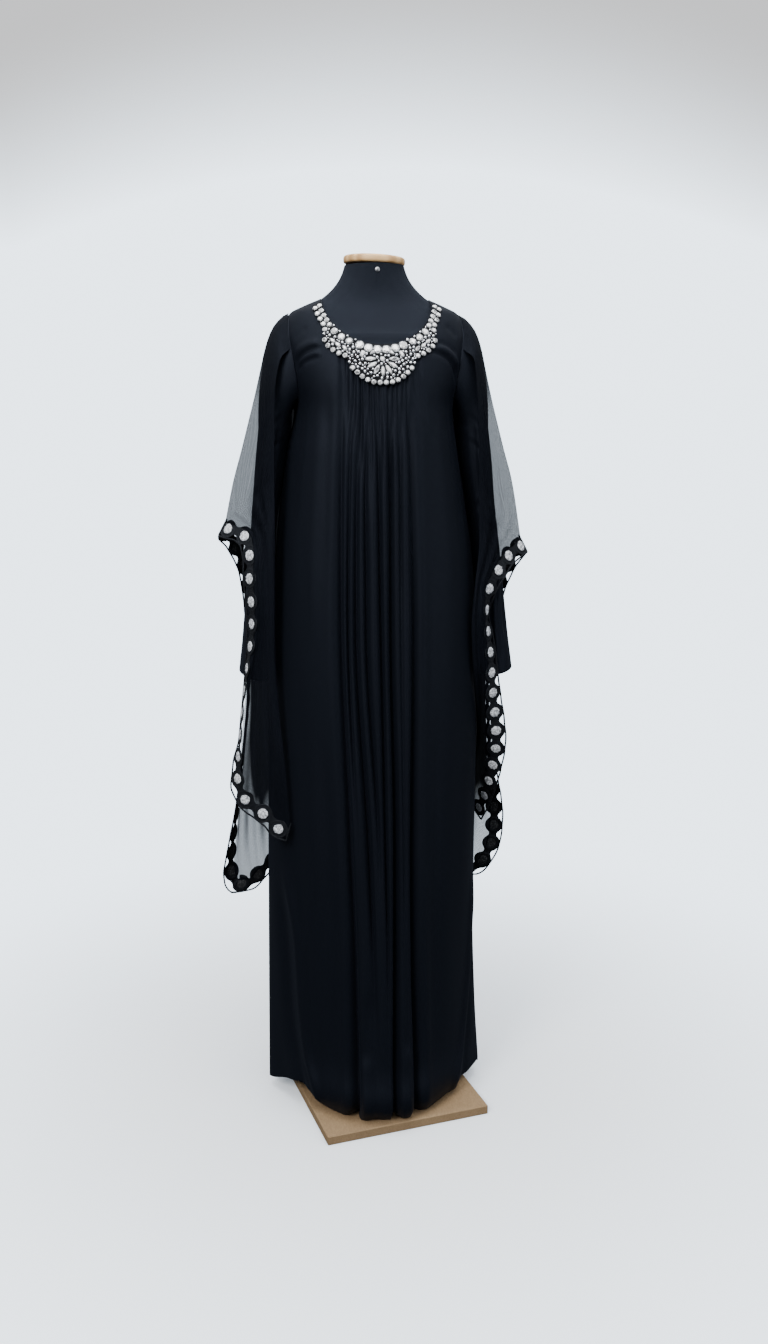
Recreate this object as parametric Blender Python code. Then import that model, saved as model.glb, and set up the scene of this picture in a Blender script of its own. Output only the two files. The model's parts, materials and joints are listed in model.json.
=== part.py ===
"""A black jersey robe with net wings, worn by a limbless dress form on a square board.

Metres, +Z up, origin under the middle of the board. The robe faces -Y. On both sides x is
counted outwards from the middle in the tables, and a side of -1 is the robe's right hand,
which is on the left in a front view.
"""
import math

import bmesh
import bpy
import numpy as np

# Driving sizes
SEAM = 0.0003
JERSEY = 0.0015
NET = 0.0010
LACE = 0.0020
BIB = 0.0016

BOARD_SIZE = (0.323, 0.400, 0.018)
BOARD_TURN = math.radians(12.5)
BOARD_EDGE = 0.0015
POLE_RADIUS = 0.014
CAP_RADIUS = 0.055
CAP_HEIGHT = 0.016
CAP_EDGE = 0.0015
FORM_TOP = 1.583
FORM_FOOT = 0.760
TACK_RADIUS = 0.0042
TACK_HEIGHT = 1.5715
TACK_RINGS = ((1, 0), (1, 0.0006), (0.55, 0.0016))

HEM = BOARD_SIZE[2] + SEAM
ARMPIT = 1.335
NECK_HALF = 0.099
NECK_TOP = 1.5245
FRONT_NECK_DROP = 0.0835
BACK_NECK_DROP = 0.024
NOSE = 0.006
SIDE_ANGLE = 0.02


def table(columns, *rows):
    """Named columns of a table, each as an array."""
    return dict(zip(columns.split(), np.array(rows, float).T))


# Outline of the dress at each height: reach to each side, to the front and to the back.
# A pinch over 1 flattens the cloth towards the side seams.
DRESS = table(
    "z       left    right   front   back    pinch",
    (HEM,    0.2145, 0.2125, 0.200,  0.180,  2.10),
    (0.170,  0.2125, 0.2030, 0.194,  0.170,  1.85),
    (0.385,  0.2095, 0.1960, 0.186,  0.158,  1.50),
    (0.590,  0.2060, 0.1960, 0.177,  0.147,  1.20),
    (0.800,  0.1990, 0.1940, 0.168,  0.137,  1.05),
    (0.950,  0.1925, 0.1910, 0.159,  0.130,  1.00),
    (1.060,  0.1850, 0.1820, 0.152,  0.125,  0.97),
    (1.170,  0.1735, 0.1660, 0.146,  0.120,  0.95),
    (1.260,  0.1600, 0.1510, 0.141,  0.114,  0.92),
    (ARMPIT, 0.1450, 0.1420, 0.135,  0.109,  0.90),
    (1.380,  0.1550, 0.1540, 0.127,  0.105,  0.90),
    (1.420,  0.1630, 0.1630, 0.115,  0.099,  0.90),
    (1.455,  0.1670, 0.1670, 0.098,  0.090,  0.90),
    (1.480,  0.1620, 0.1620, 0.083,  0.080,  0.90),
    (1.501,  0.1500, 0.1500, 0.069,  0.068,  0.90),
    (1.513,  0.1270, 0.1270, 0.060,  0.060,  0.90),
    (1.521,  0.1080, 0.1080, 0.055,  0.055,  0.90),
    (NECK_TOP, NECK_HALF, NECK_HALF, 0.053, 0.053, 0.90),
)

# The dress form under it, a plain general figure with a stand neck. Its shoulders follow the
# dress from the collar bones up, lower and smaller by the cloth and a little ease.
FORM_DROP = 0.0045
FORM_INSET = 0.0032
FORM = table(
    "z          left    right   front   back    pinch",
    (FORM_FOOT, 0.126,  0.126,  0.080,  0.085,  0.92),
    (0.790,     0.150,  0.150,  0.092,  0.100,  0.92),
    (0.880,     0.160,  0.160,  0.100,  0.110,  0.92),
    (0.980,     0.145,  0.145,  0.098,  0.100,  0.92),
    (1.090,     0.112,  0.112,  0.092,  0.082,  0.92),
    (1.170,     0.114,  0.114,  0.100,  0.084,  0.92),
    (1.260,     0.126,  0.126,  0.122,  0.092,  0.92),
    (1.335,     0.132,  0.132,  0.124,  0.098,  0.90),
    (1.390,     0.143,  0.143,  0.116,  0.096,  0.90),
    *((z - FORM_DROP, min(half - FORM_INSET, 0.158), min(half - FORM_INSET, 0.158),
       front - FORM_INSET, back - FORM_INSET, 0.90)
      for z, half, front, back in zip(*(DRESS[key][-7:] for key in ("z", "right", "front", "back")))),
    (1.534,     0.083,  0.083,  0.0475, 0.048,  0.92),
    (1.549,     0.067,  0.067,  0.0465, 0.047,  0.96),
    (1.566,     0.057,  0.057,  0.0465, 0.047,  1.00),
    (FORM_TOP,  0.053,  0.053,  0.0470, 0.047,  1.00),
)
FORM_SIDES = 24

# Troughs of the gathers that fall from the bib: place across and depth at each height.
FOLD_HEIGHTS = (0.02, 0.10, 0.33, 0.56, 0.945, 1.17, 1.335)
FRONT_TROUGHS = (
    dict(x=(-0.060, -0.060, -0.061, -0.067, -0.079, -0.076, -0.071),
         depth=(0.012, 0.012, 0.010, 0.008, 0.007, 0.005, 0.003), width=0.0085),
    dict(x=(-0.044, -0.044, -0.046, -0.052, -0.066, -0.062, -0.055),
         depth=(0.000, 0.000, 0.001, 0.002, 0.005, 0.004, 0.003), width=0.0055),
    dict(x=(-0.021, -0.021, -0.025, -0.033, -0.052, -0.049, -0.040),
         depth=(0.006, 0.006, 0.007, 0.008, 0.007, 0.005, 0.003), width=0.0080),
    dict(x=(-0.008, -0.008, -0.010, -0.014, -0.033, -0.033, -0.026),
         depth=(0.000, 0.000, 0.001, 0.003, 0.006, 0.005, 0.003), width=0.0060),
    dict(x=(0.002, 0.002, 0.002, -0.001, -0.007, -0.009, -0.0116),
         depth=(0.002, 0.002, 0.003, 0.005, 0.007, 0.005, 0.003), width=0.0055),
    dict(x=(0.0165, 0.0165, 0.0173, 0.0176, 0.0111, 0.0119, 0.0157),
         depth=(0.016, 0.016, 0.014, 0.012, 0.009, 0.006, 0.003), width=0.0065),
    dict(x=(0.038, 0.038, 0.034, 0.033, 0.030, 0.030, 0.033),
         depth=(0.000, 0.000, 0.002, 0.003, 0.003, 0.004, 0.003), width=0.0060),
    dict(x=(0.061, 0.061, 0.055, 0.052, 0.0543, 0.0515, 0.050),
         depth=(0.014, 0.014, 0.013, 0.011, 0.008, 0.006, 0.003), width=0.0090),
)
BACK_TROUGHS = tuple(
    dict(x=tuple(place * spread for spread in (1.0, 0.99, 0.95, 0.9, 0.8, 0.7, 0.62)),
         depth=tuple(depth * share for share in (1.0, 1.0, 0.95, 0.8, 0.5, 0.3, 0.12)), width=width)
    for place, depth, width in (
        (-0.112, 0.013, 0.013), (-0.066, 0.017, 0.012), (-0.020, 0.013, 0.010),
        (0.024, 0.016, 0.011), (0.072, 0.012, 0.011), (0.118, 0.017, 0.013)))
FOLDS_END = (ARMPIT, 1.400)

# Rows of the panels: heights below the armpit, and steps from there up to the top edge.
LOWER_ROWS = (HEM, 0.12, 0.30, 0.52, 0.75, 0.95, 1.10, 1.20, 1.28, ARMPIT)
UPPER_STEPS = (0.07, 0.22, 0.42, 0.62, 0.79, 0.91, 0.975, 1.0)
CENTRE_EDGE = 0.092
CENTRE_MARGIN = 0.012
SIDE_COLUMNS = 7
NECK_SIDE_COLUMNS = 3
CENTRE_NECK_ANGLE = math.radians(62)
NECK_CROWDING = 1.7

# Front and back angle of the armhole round the body at each height, in degrees.
ARMHOLE = table(
    "z      angle",
    (ARMPIT, 0), (1.342, 12), (1.355, 19), (1.385, 24), (1.42, 25), (1.455, 23), (1.480, 18), (1.495, 10),
    (1.501, 0),
)

# The sleeve tubes: inner and outer reach on each side, and half the depth.
SLEEVE = table(
    "z      in_left out_left in_right out_right depth",
    (0.845, 0.2040, 0.2560,  0.2010,  0.2630,   0.061),
    (0.900, 0.2020, 0.2500,  0.1995,  0.2560,   0.059),
    (0.980, 0.1985, 0.2420,  0.1965,  0.2460,   0.057),
    (1.090, 0.1895, 0.2310,  0.1870,  0.2335,   0.056),
    (1.170, 0.1800, 0.2240,  0.1730,  0.2235,   0.056),
    (1.240, 0.1685, 0.2175,  0.1590,  0.2175,   0.057),
    (1.300, 0.1560, 0.2110,  0.1530,  0.2100,   0.057),
)
SLEEVE_ROWS = (1.205, 1.090, 0.970, 0.848)
SLEEVE_HEAD_STEPS = (0.0, 0.10, 0.22, 0.36, 0.52, 0.72, 1.0)
SLEEVE_HEM_SLOPE = 0.008
# The sleeve head leaves the armhole this far straight on, at most, and less under the arm. It
# turns from along the shoulder at the top to straight out under the arm, and arrives downwards.
HEAD_LEAVE = 0.17
UNDERARM_LEAVE = 0.35
HEAD_ARRIVE, UNDERARM_ARRIVE = 1.6, 0.9
HEAD_BEND = 1.4

# The beaded bib: width and slant of its strips round the neckline, in degrees from the middle.
BIB_SHAPE = table(
    "around width  slant",
    (0,     0.068, 0), (6, 0.0675, 4), (13, 0.063, 8), (19, 0.056, 11), (24, 0.0495, 14), (27.5, 0.039, 18),
    (31,    0.0355, 22), (37, 0.0370, 31), (44, 0.0365, 36), (50, 0.033, 39), (55, 0.0245, 43),
    (60,    0.0165, 49), (70, 0.0160, 56), (84, 0.0165, 64),
)
BIB_LIFT = 0.0006
BIB_STONES = 20
BIB_STONE_RISE = 0.0022
# Rows of the bib from the neckline out: share of its width, and how far every other point of the
# row is raised. A large stone is at the even points, and a small one at the odd points.
BIB_ROWS = table(
    "share even odd",
    (0.0, 0, 0), (0.14, 1, 0), (0.36, 0, 0), (0.62, 0, 0.8), (0.86, 0.8, 0), (1.0, 0, 0),
)

BINDING_RADIUS = 0.0011
BINDING_SIDES = 4

# The net wings. Each hangs from the armhole's top over the sleeve as a front and a back half,
# which meet at the fold. x is counted outwards, y keeps its sign. A border row gives the middle
# of the lace, how far its outer edge turns from straight out round the sleeve, and how far it
# dips, in degrees.
WING_LIFT = 0.0021
WING_TOP_STEP = 0.60
WING_TOP_SHIFT = 0.0015
FOLD = table(
    "x      z",
    (0.163, 1.5020), (0.175, 1.4945), (0.186, 1.4810), (0.1940, 1.4640), (0.1985, 1.4450),
    (0.207, 1.4100), (0.225, 1.3400), (0.245, 1.2650), (0.262, 1.2030),
)
INNER = "x y z"
BORDER = "x       y       z       turn dip"
WINGS = {
    "front_left": dict(
        inner=table(INNER, (0.171, -0.066, 1.42), (0.183, -0.077, 1.36), (0.187, -0.084, 1.20),
                    (0.188, -0.088, 1.05), (0.190, -0.092, 0.90), (0.186, -0.100, 0.80),
                    (0.176, -0.110, 0.68)),
        side=table(
            BORDER,
            (0.2795,  0.000, 1.1226, 0, 62), (0.2745, -0.012, 1.1215, 0, 60),
            (0.2500, -0.035, 1.1164, 5, 52), (0.2345, -0.055, 1.1000, 20, 40),
            (0.2318, -0.066, 1.0690, 45, 15), (0.2334, -0.072, 1.0390, 50, 5),
            (0.2316, -0.078, 1.0020, 55, 0), (0.2307, -0.080, 0.9660, 60, 0),
            (0.2333, -0.080, 0.9260, 66, 0), (0.2396, -0.080, 0.8875, 78, 0),
            (0.2504, -0.080, 0.8060, 86, 0), (0.2574, -0.082, 0.7410, 84, 0),
            (0.2621, -0.085, 0.6965, 60, 0), (0.2629, -0.088, 0.6630, 45, 12)),
        bottom=table(
            BORDER,
            (0.2492, -0.095, 0.6300, 20, 60), (0.2225, -0.100, 0.6080, 8, 76),
            (0.2030, -0.105, 0.5920, 0, 80), (0.1926, -0.108, 0.5780, 0, 82),
            (0.1720, -0.114, 0.5710, 0, 84))),
    "back_left": dict(
        inner=table(INNER, (0.171, 0.066, 1.42), (0.183, 0.077, 1.36), (0.187, 0.084, 1.20),
                    (0.188, 0.088, 1.05), (0.190, 0.092, 0.90), (0.186, 0.100, 0.75), (0.175, 0.114, 0.60)),
        side=table(
            BORDER,
            (0.2795, 0.000, 1.1226, 0, 62), (0.2770, 0.012, 1.1150, 0, 60),
            (0.2580, 0.030, 1.0900, 20, 50), (0.2430, 0.045, 1.0400, 60, 20),
            (0.2360, 0.066, 0.9500, 70, 0), (0.2380, 0.080, 0.8000, 80, 0),
            (0.2500, 0.088, 0.6800, 82, 0), (0.2640, 0.092, 0.5660, 76, 0),
            (0.2770, 0.094, 0.4800, 60, 5), (0.2820, 0.095, 0.4300, 42, 25)),
        bottom=table(
            BORDER,
            (0.2680, 0.095, 0.3950, 20, 60), (0.2450, 0.098, 0.3960, 5, 78), (0.2250, 0.103, 0.4130, 0, 80),
            (0.2050, 0.110, 0.4300, 0, 80), (0.1800, 0.122, 0.4550, 0, 82), (0.1580, 0.134, 0.4720, 0, 82))),
    "front_right": dict(
        inner=table(INNER, (0.171, -0.066, 1.42), (0.178, -0.080, 1.30), (0.180, -0.084, 1.20),
                    (0.181, -0.087, 1.10), (0.173, -0.093, 1.02), (0.167, -0.097, 0.95),
                    (0.172, -0.090, 0.87), (0.183, -0.062, 0.80), (0.193, -0.030, 0.74),
                    (0.199, 0.004, 0.68), (0.202, 0.032, 0.63)),
        side=table(
            BORDER,
            (0.2825,  0.000, 1.0870, 0, 62), (0.2780, -0.012, 1.0850, 0, 60),
            (0.2465, -0.040, 1.0680, 5, 55), (0.2185, -0.066, 1.0370, 15, 40),
            (0.2016, -0.075, 1.0020, 37, 20), (0.1986, -0.077, 0.9620, 65, 0),
            (0.2034, -0.077, 0.9220, 52, 0), (0.2080, -0.078, 0.8805, 45, 0),
            (0.2112, -0.077, 0.8400, 36, 0), (0.2161, -0.071, 0.7970, 22, 0),
            (0.2227, -0.062, 0.7540, 4, 0), (0.2272, -0.052, 0.7110, -14, 0),
            (0.2253, -0.035, 0.6670, -30, 5), (0.2205, -0.015, 0.6210, -45, 15)),
        bottom=table(
            BORDER,
            (0.2144,  0.010, 0.5770, -52, 28), (0.2080,  0.035, 0.5450, -56, 45))),
    "back_right": dict(
        inner=table(INNER, (0.171, 0.066, 1.42), (0.178, 0.080, 1.30), (0.180, 0.084, 1.20),
                    (0.184, 0.086, 1.05), (0.186, 0.092, 0.90), (0.184, 0.100, 0.75), (0.175, 0.112, 0.60)),
        side=table(
            BORDER,
            (0.2825, 0.000, 1.0870, 0, 62), (0.2800, 0.012, 1.0800, 0, 60),
            (0.2620, 0.030, 1.0500, 20, 50), (0.2470, 0.048, 1.0000, 50, 20),
            (0.2380, 0.072, 0.9200, 70, 0), (0.2360, 0.082, 0.8200, 80, 0),
            (0.2400, 0.086, 0.7200, 80, 0), (0.2470, 0.085, 0.6200, 60, 0),
            (0.2554, 0.083, 0.5200, 22, 0), (0.2520, 0.084, 0.4750, 10, 15)),
        bottom=table(
            BORDER,
            (0.2360, 0.088, 0.4300, 0, 55), (0.2150, 0.098, 0.4080, 0, 80),
            (0.1900, 0.112, 0.4250, 0, 82), (0.1650, 0.128, 0.4480, 0, 82))),
}
FOLD_ROWS = (0.0, 0.05, 0.13, 0.28, 0.50, 0.75)
FOLD_ROUNDING = 0.045
FOLD_WAY = (0.25, 1.0, 0.15)
BORDER_EASE = 0.022
TIP_DOWN = 0.27
WING_BULGE = table(
    "down out",
    (0, 0), (0.03, 0.005), (0.08, 0.009), (0.15, 0.012), (0.3, 0.006), (0.45, 0.003), (0.9, 0.001), (1, 0),
)
NET_WAVES = 2.5
NET_WAVE_DEPTH = 0.005
NET_WAVE_WIDTH = 0.10
NET_WAVE_PHASE = 1.0
NET_WAVE_START, NET_WAVE_FULL, NET_WAVE_END = 0.17, 0.50, 0.875
TOP_SHARE, FOOT_SHARE = 0.12, 0.8
ARRIVAL_SHARE = 0.7

# The lace border: round medallions between two cords, about this far from centre to centre.
MEDALLION_PITCH = 0.040
MEDALLION_HALF = 0.0160
LACE_HALF = 0.0180
LACE_END_BAR = 0.0015
DISC_RISE = 0.0015


def smooth(xs, ys, x):
    """Cubic through points that never overshoots them."""
    xs = np.asarray(xs, float)
    ys = np.asarray(ys, float)
    step = np.diff(xs)
    slope = np.diff(ys) / step
    tangent = np.zeros_like(ys)
    tangent[0], tangent[-1] = slope[0], slope[-1]
    same = slope[:-1] * slope[1:] > 0
    tangent[1:-1][same] = 2 * (slope[:-1] * slope[1:])[same] / (slope[:-1] + slope[1:])[same]
    x = np.clip(x, xs[0], xs[-1])
    i = np.clip(np.searchsorted(xs, x) - 1, 0, len(step) - 1)
    t = (x - xs[i]) / step[i]
    return (ys[i] * (1 + 2 * t) * (1 - t) ** 2 + step[i] * tangent[i] * t * (1 - t) ** 2
            + ys[i + 1] * t * t * (3 - 2 * t) + step[i] * tangent[i + 1] * t * t * (t - 1))


def look(sizes, column, at, key="z"):
    return smooth(sizes[key], sizes[column], at)


def unit(vectors):
    return vectors / np.maximum(np.linalg.norm(vectors, axis=-1, keepdims=True), 1e-12)


def along(points, fractions):
    """Smooth path through points, read at fractions of its length."""
    points = np.asarray(points, float)
    run = np.concatenate([[0], np.cumsum(np.linalg.norm(np.diff(points, axis=0), axis=1))])
    fine = np.linspace(0, run[-1], 200)
    path = np.stack([smooth(run, points[:, k], fine) for k in range(3)], axis=1)
    run = np.concatenate([[0], np.cumsum(np.linalg.norm(np.diff(path, axis=0), axis=1))])
    return np.stack([np.interp(np.asarray(fractions) * run[-1], run, path[:, k]) for k in range(3)], axis=-1)


def outline(body, z, angle):
    """Point of a body at height z: angle 0 is its +X side, 90 degrees its front."""
    z = np.asarray(z, float)
    cosine, sine = np.cos(angle), np.sin(angle)
    half = np.where(cosine > 0, look(body, "right", z), look(body, "left", z))
    depth = np.where(sine > 0, look(body, "front", z), look(body, "back", z))
    bulge = depth * np.abs(sine) ** look(body, "pinch", z) + NOSE * np.abs(sine) ** 0.5
    return np.stack(np.broadcast_arrays(half * cosine, -np.sign(sine) * bulge, z), axis=-1)


def on_body(body, x, z, face):
    """Point of a body straight behind (x, z) in front view; face 1 is the front, -1 the back."""
    half = np.where(x > 0, look(body, "right", z), look(body, "left", z))
    angle = np.arccos(np.clip(x / half, -1, 1))
    angle = np.where(angle < SIDE_ANGLE, 0, np.where(angle > math.pi - SIDE_ANGLE, math.pi, angle))
    point = outline(body, z, face * angle)
    point[..., 1] = np.where((angle == 0) | (angle == math.pi), 0, point[..., 1])
    return point


# Panels of the dress

def body_normals(points, face):
    """Way out from the dress at points of its plain outline."""
    x, z = points[..., 0], points[..., 2]
    half = np.where(x > 0, look(DRESS, "right", z), look(DRESS, "left", z))
    angle = face * np.arccos(np.clip(x / half, -1, 1))
    around, rise = 0.03, 0.001
    level = np.clip(z, HEM + rise, NECK_TOP - rise)
    across = outline(DRESS, level, angle + around) - outline(DRESS, level, angle - around)
    up = outline(DRESS, level + rise, angle) - outline(DRESS, level - rise, angle)
    normals = np.cross(up, across)
    normals[np.abs(points[..., 1]) < SEAM, 1] = 0
    return unit(normals)


def folds(x, z, troughs):
    """How far the gathers push the cloth in at (x, z)."""
    push = np.zeros(np.broadcast(x, z).shape)
    start, end = FOLDS_END
    fade = np.clip((end - z) / (end - start), 0, 1)
    for trough in troughs:
        place = smooth(FOLD_HEIGHTS, trough["x"], z)
        depth = smooth(FOLD_HEIGHTS, trough["depth"], z)
        push += depth * fade * np.exp(-((x - place) / trough["width"]) ** 2)
    return push


def centre_lines(z, troughs):
    """Places across the middle of a panel: each trough and the ridge between each two."""
    places = np.array([smooth(FOLD_HEIGHTS, trough["x"], z) for trough in troughs])
    ridges = (places[:-1] + places[1:]) / 2
    inner = np.sort(np.concatenate([places, ridges]))
    edge = max(CENTRE_EDGE, abs(inner).max() + CENTRE_MARGIN)
    ends = ((inner[0] - edge) / 2, (inner[-1] + edge) / 2)
    return np.concatenate([[-edge, ends[0]], inner, [ends[1], edge]])


def side_places(z, start, side):
    """Places from the middle part of a panel out to the side seam, evenly along the cloth."""
    half = look(DRESS, "right" if side > 0 else "left", z)
    first = math.acos(np.clip(start / half, -1, 1))
    angles = np.linspace(first, 0, 80)
    points = outline(DRESS, z, angles if side > 0 else math.pi - angles)
    run = np.concatenate([[0], np.cumsum(np.linalg.norm(np.diff(points, axis=0), axis=1))])
    wanted = np.linspace(0, run[-1], SIDE_COLUMNS + 1)[1:]
    return side * half * np.cos(np.interp(wanted, run, angles))


def row_places(z, troughs):
    centre = centre_lines(z, troughs)
    left = side_places(z, -centre[0], -1)[::-1]
    right = side_places(z, centre[-1], 1)
    return np.concatenate([left, centre, right])


def top_edge(centre, drop):
    """Neckline and shoulder seams from one armhole to the other, as (x, z) for each column."""
    places = centre / np.abs(centre).max() * CENTRE_NECK_ANGLE
    share = np.linspace(0, 1, NECK_SIDE_COLUMNS + 1)[1:]
    extra = CENTRE_NECK_ANGLE + (math.pi / 2 - CENTRE_NECK_ANGLE) * (1 - (1 - share) ** NECK_CROWDING)
    angles = np.concatenate([-extra[::-1], places, extra])
    neck = np.stack([NECK_HALF * np.sin(angles), NECK_TOP - drop * np.cos(angles)], axis=1)
    steps = SIDE_COLUMNS - NECK_SIDE_COLUMNS
    rise = np.linspace(NECK_TOP, ARMHOLE["z"][-1], steps + 1)[1:]
    shoulder = np.stack([look(DRESS, "right", rise), rise], axis=1)
    left = shoulder[::-1] * (-1, 1)
    return np.concatenate([left, neck, shoulder])


def armhole_edge(z, side):
    """Reach of the armhole edge at height z."""
    half = look(DRESS, "right" if side > 0 else "left", z)
    return side * half * np.cos(np.radians(look(ARMHOLE, "angle", z)))


def panel(troughs, face, drop):
    """Outer points of a front or back panel, row by row from the hem to the top edge."""
    rows = []
    for z in LOWER_ROWS:
        x = row_places(z, troughs)
        rows.append(on_body(DRESS, x, np.full_like(x, z), face))
    start_x = rows[-1][:, 0]
    centre = centre_lines(ARMPIT, troughs)
    top = top_edge(centre, drop)
    weight = np.zeros(len(start_x))
    weight[-SIDE_COLUMNS:] = np.linspace(0, 1, SIDE_COLUMNS + 1)[1:]
    weight[:SIDE_COLUMNS] = weight[-SIDE_COLUMNS:][::-1]
    for step in UPPER_STEPS:
        x = start_x + (top[:, 0] - start_x) * step
        z = ARMPIT + (top[:, 1] - ARMPIT) * step
        for side, column in ((-1, 0), (1, -1)):
            stray = armhole_edge(z[column], side) - x[column]
            near = np.sign(x) == side
            x = np.where(near, x + weight * stray, x)
        if step == 1.0:
            x = top[:, 0]
        rows.append(on_body(DRESS, x, z, face))
    points = np.array(rows)
    push = folds(points[..., 0], points[..., 2], troughs)
    points = points - push[..., None] * unit(grid_normals(points, face) * (1, 1, 0))
    points[..., 1] = np.where(np.abs(points[..., 1]) < SEAM / 2, -face * SEAM / 2, points[..., 1])
    return points


# Walls from grids of points

SHORTEST_MITRE = 0.45


def grid_normals(points, sense, wrap=False):
    """Unit normals of a grid of points; sense picks the side that faces out."""
    if wrap:
        across = np.roll(points, -1, axis=1) - np.roll(points, 1, axis=1)
    else:
        across = np.gradient(points, axis=1)
    up = np.gradient(points, axis=0)
    return unit(np.cross(across, up)) * sense


def in_seam_plane(points, normals):
    """Normals that keep a seam's edge faces in the plane of the seam, with a mitred length."""
    on_seam = np.abs(points[..., 1]) < SEAM
    flat = normals * (1, 0, 1)
    length = np.linalg.norm(flat, axis=-1, keepdims=True)
    mitred = flat / np.maximum(length, SHORTEST_MITRE) ** 2
    return np.where(on_seam[..., None], mitred, normals)


def wall(name, outer, inner, material, wrap=False):
    """Closed wall between two grids of points of the same size."""
    rows, columns = outer.shape[:2]
    count = rows * columns
    points = np.concatenate([outer.reshape(-1, 3), inner.reshape(-1, 3)])
    faces = []

    def quad(a, b, c, d):
        faces.append((a, b, c))
        faces.append((a, c, d))

    last = columns if wrap else columns - 1
    for r in range(rows - 1):
        for c in range(last):
            a, b = r * columns + c, r * columns + (c + 1) % columns
            d, e = a + columns, b + columns
            quad(a, b, e, d)
            quad(count + a, count + d, count + e, count + b)
    for c in range(last):
        a, b = c, (c + 1) % columns
        quad(a, count + a, count + b, b)
        a, b = a + (rows - 1) * columns, b + (rows - 1) * columns
        quad(a, b, count + b, count + a)
    if not wrap:
        for r in range(rows - 1):
            a, d = r * columns, (r + 1) * columns
            quad(a, d, count + d, count + a)
            b, e = a + columns - 1, d + columns - 1
            quad(b, count + b, count + e, e)
    return solid(name, points, faces, material)


def solid(name, points, faces, material):
    """Object from points and faces, with its faces turned out."""
    mesh = bpy.data.meshes.new(name)
    mesh.from_pydata([tuple(map(float, p)) for p in points], [], faces)
    shape = bmesh.new()
    shape.from_mesh(mesh)
    if shape.calc_volume(signed=True) < 0:
        bmesh.ops.reverse_faces(shape, faces=shape.faces)
    shape.to_mesh(mesh)
    shape.free()
    mesh.shade_smooth()
    mesh.set_sharp_from_angle(angle=math.radians(40))
    mesh.materials.append(material)
    part = bpy.data.objects.new(name, mesh)
    bpy.context.scene.collection.objects.link(part)
    return part


def finish(name, colour, roughness, metallic=0.0):
    material = bpy.data.materials.new(name)
    material.use_nodes = True
    shader = material.node_tree.nodes["Principled BSDF"]
    shader.inputs["Base Color"].default_value = (*colour, 1)
    shader.inputs["Roughness"].default_value = roughness
    shader.inputs["Metallic"].default_value = metallic
    return material


# The dress

def make_panel(name, troughs, face, drop, cloth):
    points = panel(troughs, face, drop)
    normals = in_seam_plane(points, grid_normals(points, face))
    normals[0, :, 2] = 0
    upper = slice(len(LOWER_ROWS) - 1, None)
    normals[upper] = body_normals(points[upper], face)
    wall(name, points, points - normals * JERSEY, cloth)
    return points


def armhole(front, back, side):
    """Armhole edge of both panels, from its top down the front and up the back."""
    column = -1 if side > 0 else 0
    upper = slice(len(LOWER_ROWS) - 1, None)
    front_edge = front[upper, column][::-1]
    back_edge = back[upper, column][1:-1]
    normals = np.concatenate([body_normals(front_edge, 1), body_normals(back_edge, -1)])
    loop = np.concatenate([front_edge, back_edge])
    loop[[0, len(front_edge) - 1], 1] = 0
    tangent = unit(np.roll(loop, -1, axis=0) - np.roll(loop, 1, axis=0))
    return loop, normals, unit(np.cross(normals, tangent)) * side


def make_sleeve(name, front, back, side, cloth):
    """Tube from the armhole down to the cuff, open at both ends."""
    loop, normals, onward = armhole(front, back, side)
    under = len(UPPER_STEPS)
    run = np.linalg.norm(np.roll(loop, -1, axis=0) - loop, axis=1)
    walked = np.concatenate([[0], np.cumsum(run)])[:-1]
    split, total = walked[under], run.sum()
    turn = np.where(walked <= split, walked / split, 1 + (walked - split) / (total - split)) * math.pi
    bend = (math.pi / 2 * np.sin(turn / 2) ** HEAD_BEND)[:, None]
    leave_way = np.cos(bend) * onward + np.sin(bend) * normals
    start = loop + leave_way * SEAM
    key = "left" if side < 0 else "right"

    def ring(z):
        near, far = look(SLEEVE, "in_" + key, z), look(SLEEVE, "out_" + key, z)
        reach = (near + far) / 2 + (far - near) / 2 * np.cos(turn)
        depth = -look(SLEEVE, "depth", z) * np.sin(turn)
        return np.stack([side * reach, depth, np.full_like(turn, z)], axis=1)

    head = ring(SLEEVE["z"][-1])
    reach = np.linalg.norm(head - start, axis=1, keepdims=True)
    topness = (1 + np.cos(turn[:, None])) / 2
    leave = np.minimum(reach, HEAD_LEAVE) * (UNDERARM_LEAVE + (1 - UNDERARM_LEAVE) * topness)
    arrive = reach * (UNDERARM_ARRIVE + (HEAD_ARRIVE - UNDERARM_ARRIVE) * topness)
    rows = []
    for t in SLEEVE_HEAD_STEPS:
        row = ((1 + 2 * t) * (1 - t) ** 2 * start + t * (1 - t) ** 2 * leave * leave_way
               + t * t * (3 - 2 * t) * head - t * t * (t - 1) * arrive * np.array((0, 0, 1)))
        rows.append(row)
    for z in SLEEVE_ROWS:
        rows.append(ring(z))
    rows[-1][:, 2] += SLEEVE_HEM_SLOPE * np.cos(turn)
    outer = np.array(rows)
    out = grid_normals(outer, 1, wrap=True)
    middle = outer.mean(axis=1, keepdims=True)
    if ((outer - middle) * out)[-3:].sum() < 0:
        out = -out
    out[0] = np.cos(bend) * normals - np.sin(bend) * onward
    wall(name, outer, outer - out * JERSEY, cloth, wrap=True)


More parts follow.
